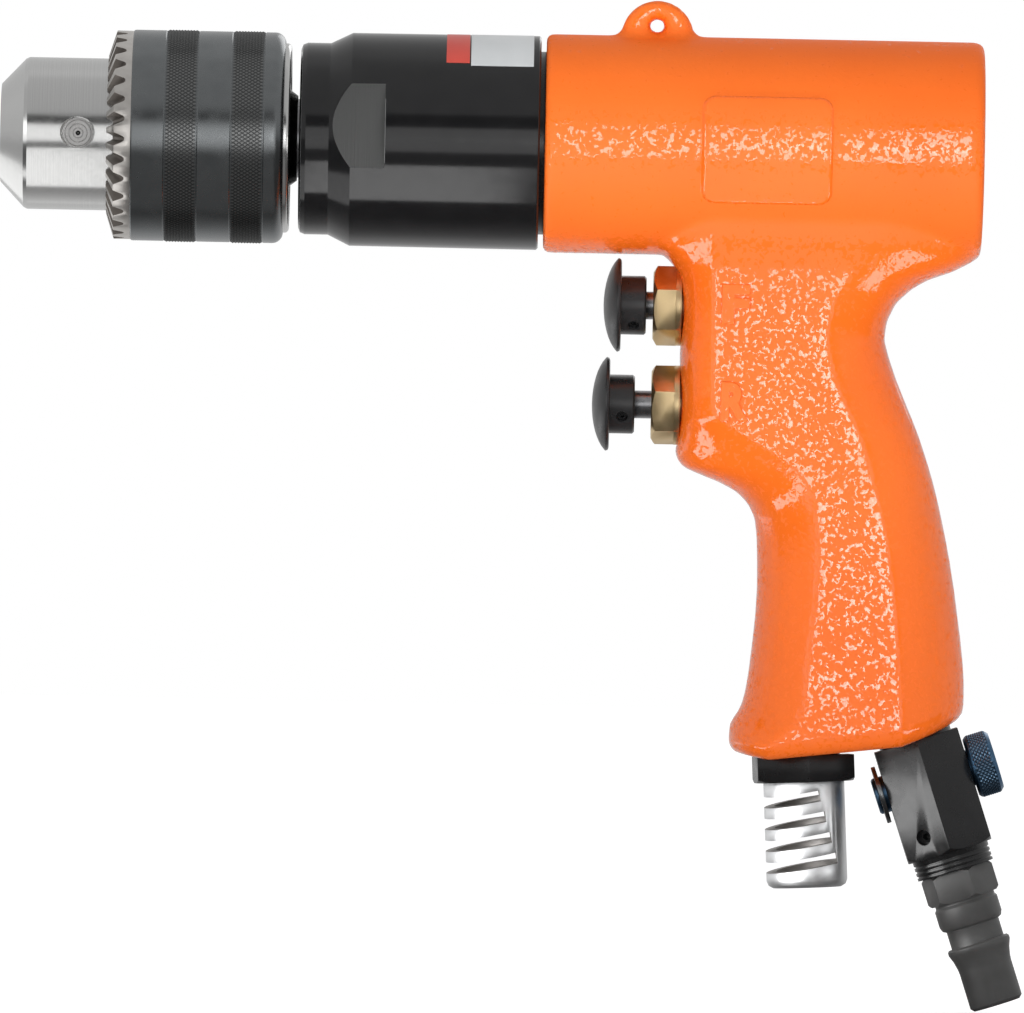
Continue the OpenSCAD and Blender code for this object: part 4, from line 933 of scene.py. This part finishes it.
# %% [markdown]
# ## The chuck sleeve
# The sleeve is two things in one: a bright ring of key teeth in front, and a dark oxidised barrel
# with two knurled bands behind. The teeth come from the CAD node, cut off at the colour line, and
# the faces that lie below the ring's own cone get painted shade, so the notches turn dark.

# %% Key crown
CROWN_X, CROWN_END = 23.0, 28.3
CROWN_BORE, CROWN_FRONT_R, CROWN_R = 16.6, 17.15, 22.5
CROWN_SLOPE = 5.35 / 1.7
NOTCH_DEPTH, CUT_MARGIN = 0.16, 0.1

crown = merged_copy("chuck_sleeve")
bmesh.ops.bisect_plane(crown, geom=crown.verts[:] + crown.edges[:] + crown.faces[:], dist=1e-7,
                       plane_co=(CROWN_END * MM, 0, 0), plane_no=(1, 0, 0), clear_outer=True)
bmesh.ops.bridge_loops(crown, edges=[e for e in crown.edges if e.is_boundary])
break_edges(crown, 0.1)
painted_shade = crown.faces.layers.float.new("painted_shade")
for face in crown.faces:
    middle = face.calc_center_median() / MM
    cone = min(CROWN_R, CROWN_FRONT_R + (middle.x - CROWN_X) * CROWN_SLOPE)
    below_cone = CROWN_BORE < math.hypot(middle.y, middle.z) < cone - NOTCH_DEPTH
    # Notch floors get painted shade.
    face[painted_shade] = float(below_cone and middle.x < CROWN_END - CUT_MARGIN)
place_piece(crown, "key_crown", "chuck_sleeve", crown_steel, ["chuck_sleeve"])

# %% [markdown]
# A knurl is pressed by two wheels with slanting teeth, which leave four-sided pyramids between
# crossing grooves. The ring is spun from a profile with rows of points across each band, and every
# other point is pushed outwards. Each cell is then split along its groove, and the points are marked
# as crest or groove for the finish, which paints the grooves darker as shade and the crests lighter.

# %% Turned shapes
def spun(profile, steps):
    bm = bmesh.new()
    ring = [bm.verts.new((x * MM, r * MM, 0.0)) for x, r in profile]
    loop = [bm.edges.new((a, b)) for a, b in zip(ring, ring[1:] + ring[:1])]
    bmesh.ops.spin(bm, geom=ring + loop, cent=(0, 0, 0), axis=(1, 0, 0), angle=2 * math.pi, steps=steps,
                   use_merge=True)
    bmesh.ops.remove_doubles(bm, verts=bm.verts, dist=1e-6)
    bmesh.ops.recalc_face_normals(bm, faces=bm.faces)
    return bm


def rounded_corner(x, r, radius):
    """A quarter round from the outside of a turned piece to its end face."""
    quarter = [k * math.pi / 16 for k in range(9)]
    return [(x - radius + radius * math.sin(a), r - radius + radius * math.cos(a)) for a in quarter]


def band_rows(band, rows, r):
    """Points across a knurled band, one at each row of crests."""
    low, high = band
    return [(low + (high - low) * k / rows, r) for k in range(rows + 1)]


print("turned shapes are spun around X")

# %% Knurls
BAND_DEPTH, ROW_MISS = 0.5, 0.02


def knurl_points(bm, steps, rows, bands, skin_r):
    """The points inside the bands, each with its row plus its step around the axis."""
    for vert in bm.verts:
        x = vert.co.x / MM
        if math.hypot(vert.co.y, vert.co.z) > (skin_r - BAND_DEPTH) * MM:
            for low, high in bands:
                row = round((x - low) / (high - low) * rows)
                if 0 < row < rows and abs(x - low - row * (high - low) / rows) < ROW_MISS:
                    yield vert, row + round(math.atan2(vert.co.z, vert.co.y) / (2 * math.pi) * steps)


def joined(a, b):
    return any(edge.other_vert(a) is b for edge in a.link_edges)


def knurled(bm, steps, rows, bands, skin_r, high):
    for mark in ("crest", "groove"):
        bm.verts.layers.float.new(mark)
    crest, groove = (bm.verts.layers.float[mark] for mark in ("crest", "groove"))
    crests = set()
    for vert, parity in list(knurl_points(bm, steps, rows, bands, skin_r)):
        if parity % 2 == 0:
            vert.co += Vector((0.0, vert.co.y, vert.co.z)).normalized() * high * MM
            vert[crest] = 1.0
            crests.add(vert)
        else:
            # Groove points carry the painted shade.
            vert[groove] = 1.0
    for cell in [face for face in bm.faces if len(face.verts) == 4]:
        low = [v for v in cell.verts if v not in crests]
        across = [(a, b) for a in low for b in low if a is not b and not joined(a, b)]
        if len(low) < 4 and across:
            bmesh.utils.face_split(cell, *across[0])


print("knurl helpers ready")

# %% Knurled barrel
KNURL_STEPS, KNURL_ROWS, KNURL_HIGH = 344, 11, 0.30
BANDS, BAND_SINK = [(35.5, 42.5), (49.8, 56.8)], 0.13
SLEEVE_BORE, SLEEVE_R, SLEEVE_END, SLEEVE_ROUND = 20.6, 22.75, 61.2, 2.3

profile = [(CROWN_END, SLEEVE_BORE), (CROWN_END, CROWN_R)]
profile += [(CROWN_END + 0.2, SLEEVE_R - 0.05), (CROWN_END + 0.5, SLEEVE_R)]
for band in BANDS:
    profile += [(band[0] - 0.2, SLEEVE_R)]
    profile += band_rows(band, KNURL_ROWS, SLEEVE_R - BAND_SINK)
    profile += [(band[1] + 0.2, SLEEVE_R)]
profile += rounded_corner(SLEEVE_END, SLEEVE_R, SLEEVE_ROUND)
profile += [(SLEEVE_END, SLEEVE_BORE)]
barrel = spun(profile, KNURL_STEPS)
knurled(barrel, KNURL_STEPS, KNURL_ROWS, BANDS, SLEEVE_R, KNURL_HIGH)
place_piece(barrel, "knurled_barrel", "chuck_sleeve", finishes["dark_steel"],
            ["chuck_sleeve"], 20.0)

# %% [markdown]
# ### The ring behind the sleeve and the faces of the pilot holes
# Behind the sleeve the chuck body shows as a bright ring with a rounded edge. In the side of the
# nose, three holes take the pilot of a chuck key; each was drilled with a flat cutter, which left
# rings on its floor. Both are turned shapes, so both are spun from a profile.

# %% Chuck ring
RING_FRONT, RING_END, RING_BORE, RING_R, RING_ROUND = 60.75, 62.45, 17.0, 20.45, 0.9
RING_STEPS = 128

profile = [(RING_FRONT, RING_BORE), (RING_FRONT, RING_R)]
profile += rounded_corner(RING_END, RING_R, RING_ROUND)
profile += [(RING_END, RING_BORE)]
ring = spun(profile, RING_STEPS)
place_piece(ring, "chuck_ring", body_of_node["chuck_body"], finishes["bright_steel"])

# %% Pilot faces
PILOT_X, PILOT_FLOOR, PILOT_BACK, PILOT_R = 16.8, 10.5, 10.1, 3.22
PILOT_CENTRE, PILOT_STEPS, PILOTS = 0.02, 48, 3
CUTTER_RINGS = [(0.0, 0.05), (0.12, 0.0), (0.4, 0.0), (0.5, 0.18), (1.0, 0.18), (1.1, 0.08),
                (1.9, 0.08), (2.0, 0.26), (2.75, 0.26), (2.85, 0.1), (3.2, 0.1)]

profile = [(PILOT_BACK, PILOT_CENTRE)]
profile += [(PILOT_FLOOR + high, r + PILOT_CENTRE) for r, high in CUTTER_RINGS]
profile += [(PILOT_BACK, PILOT_R)]
pilots = spun(profile, PILOT_STEPS)
bmesh.ops.rotate(pilots, verts=pilots.verts, matrix=Matrix.Rotation(-math.pi / 2, 3, "Z"))
bmesh.ops.translate(pilots, verts=pilots.verts, vec=(PILOT_X * MM, 0.0, 0.0))
bmesh.ops.spin(pilots, geom=pilots.faces[:], cent=(0, 0, 0), axis=(1, 0, 0),
               angle=2 * math.pi * (PILOTS - 1) / PILOTS, steps=PILOTS - 1, use_duplicate=True)
# The floors are painted darker, as shade in the holes.
place_piece(pilots, "pilot_faces", body_of_node["chuck_body"], shaded_floor_steel)

# %% [markdown]
# ## The flow regulator
# The small knob at the air inlet is knurled in the same way and heat-blued. Its knurl is a thin ring
# spun around its own axis, then carried across the inlet, which leans back from the grip.

# %% Regulator knob
INLET_AT = Vector((200.05, 0.0, -127.3)) * MM
INLET_LEAN = math.radians(18.3)
INLET_ALONG = Vector((math.sin(INLET_LEAN), 0.0, -math.cos(INLET_LEAN)))
KNOB_ALONG = Vector((math.cos(INLET_LEAN), 0.0, math.sin(INLET_LEAN)))
KNOB_DOWN = 9.2 * MM
KNOB_BAND, KNOB_STEPS, KNOB_ROWS, KNOB_HIGH = (10.3, 14.6), 84, 9, 0.2
KNOB_R, KNOB_EDGE, KNOB_LIFT = 6.75, 0.15, 0.02

soften("regulator_spool", 0.12)
profile = [(KNOB_BAND[0] - KNOB_EDGE, KNOB_R - KNOB_EDGE)]
profile += band_rows(KNOB_BAND, KNOB_ROWS, KNOB_R + KNOB_LIFT)
profile += [(KNOB_BAND[1] + KNOB_EDGE, KNOB_R - KNOB_EDGE)]
knob = spun(profile, KNOB_STEPS)
knurled(knob, KNOB_STEPS, KNOB_ROWS, [KNOB_BAND], KNOB_R, KNOB_HIGH)
carry = KNOB_ALONG.to_track_quat("X", "Z").to_matrix().to_4x4()
carry.translation = INLET_AT + INLET_ALONG * KNOB_DOWN
bmesh.ops.transform(knob, matrix=carry, verts=knob.verts)
place_piece(knob, "knob_knurl", body_of_node["regulator_spool"], finishes["blued_steel"],
            (), 20.0)

# %% [markdown]
# ## Flags
# In a studio, a flag keeps a lamp's light off whatever it would spoil. Blender has the same idea as
# light linking: a lamp may name a collection, and then it reaches only the pieces in it. The panel
# that makes the paint sparkle would burn out the brass, and the reflectors of the nose and the case
# would draw stripes on the sleeve between them.

# %% Flags
RAISED = ["bare_plate", "letter_F", "letter_R"]
PAINTED = ["housing_casting", *RAISED]
REACH = {
    "paint_panel": PAINTED,
    "front_wet": PAINTED,
    "rear_wet": PAINTED,
    "edge_left": RAISED,
    "edge_right": RAISED,
    "edge_low": RAISED,
    "nose_reflector": ["chuck_body_made", "key_crown", "pilot_faces", "gear_case_made"],
    "nose_bounce": ["chuck_body_made", "key_crown"],
    "sleeve_reflector": ["knurled_barrel", "chuck_ring"],
    "case_reflector": ["gear_case_made"],
    "inlet_reflector": ["inlet_body_made", "plug_made", "muffler_tube_made"],
    "left_panel": ["chuck_body_made", "inlet_body_made", "plug_made", "muffler_tube_made",
                   "forward_button_made", "reverse_button_made"],
    "right_panel": ["chuck_ring", "knob_knurl", "muffler_tube_made"],
}
for lamp, pieces in REACH.items():
    reach = bpy.data.collections.new(lamp + "_reach")
    for piece in pieces:
        reach.objects.link(bpy.data.objects[piece])
    bpy.data.objects[lamp].light_linking.receiver_collection = reach
print(len(REACH), "lamps are flagged")
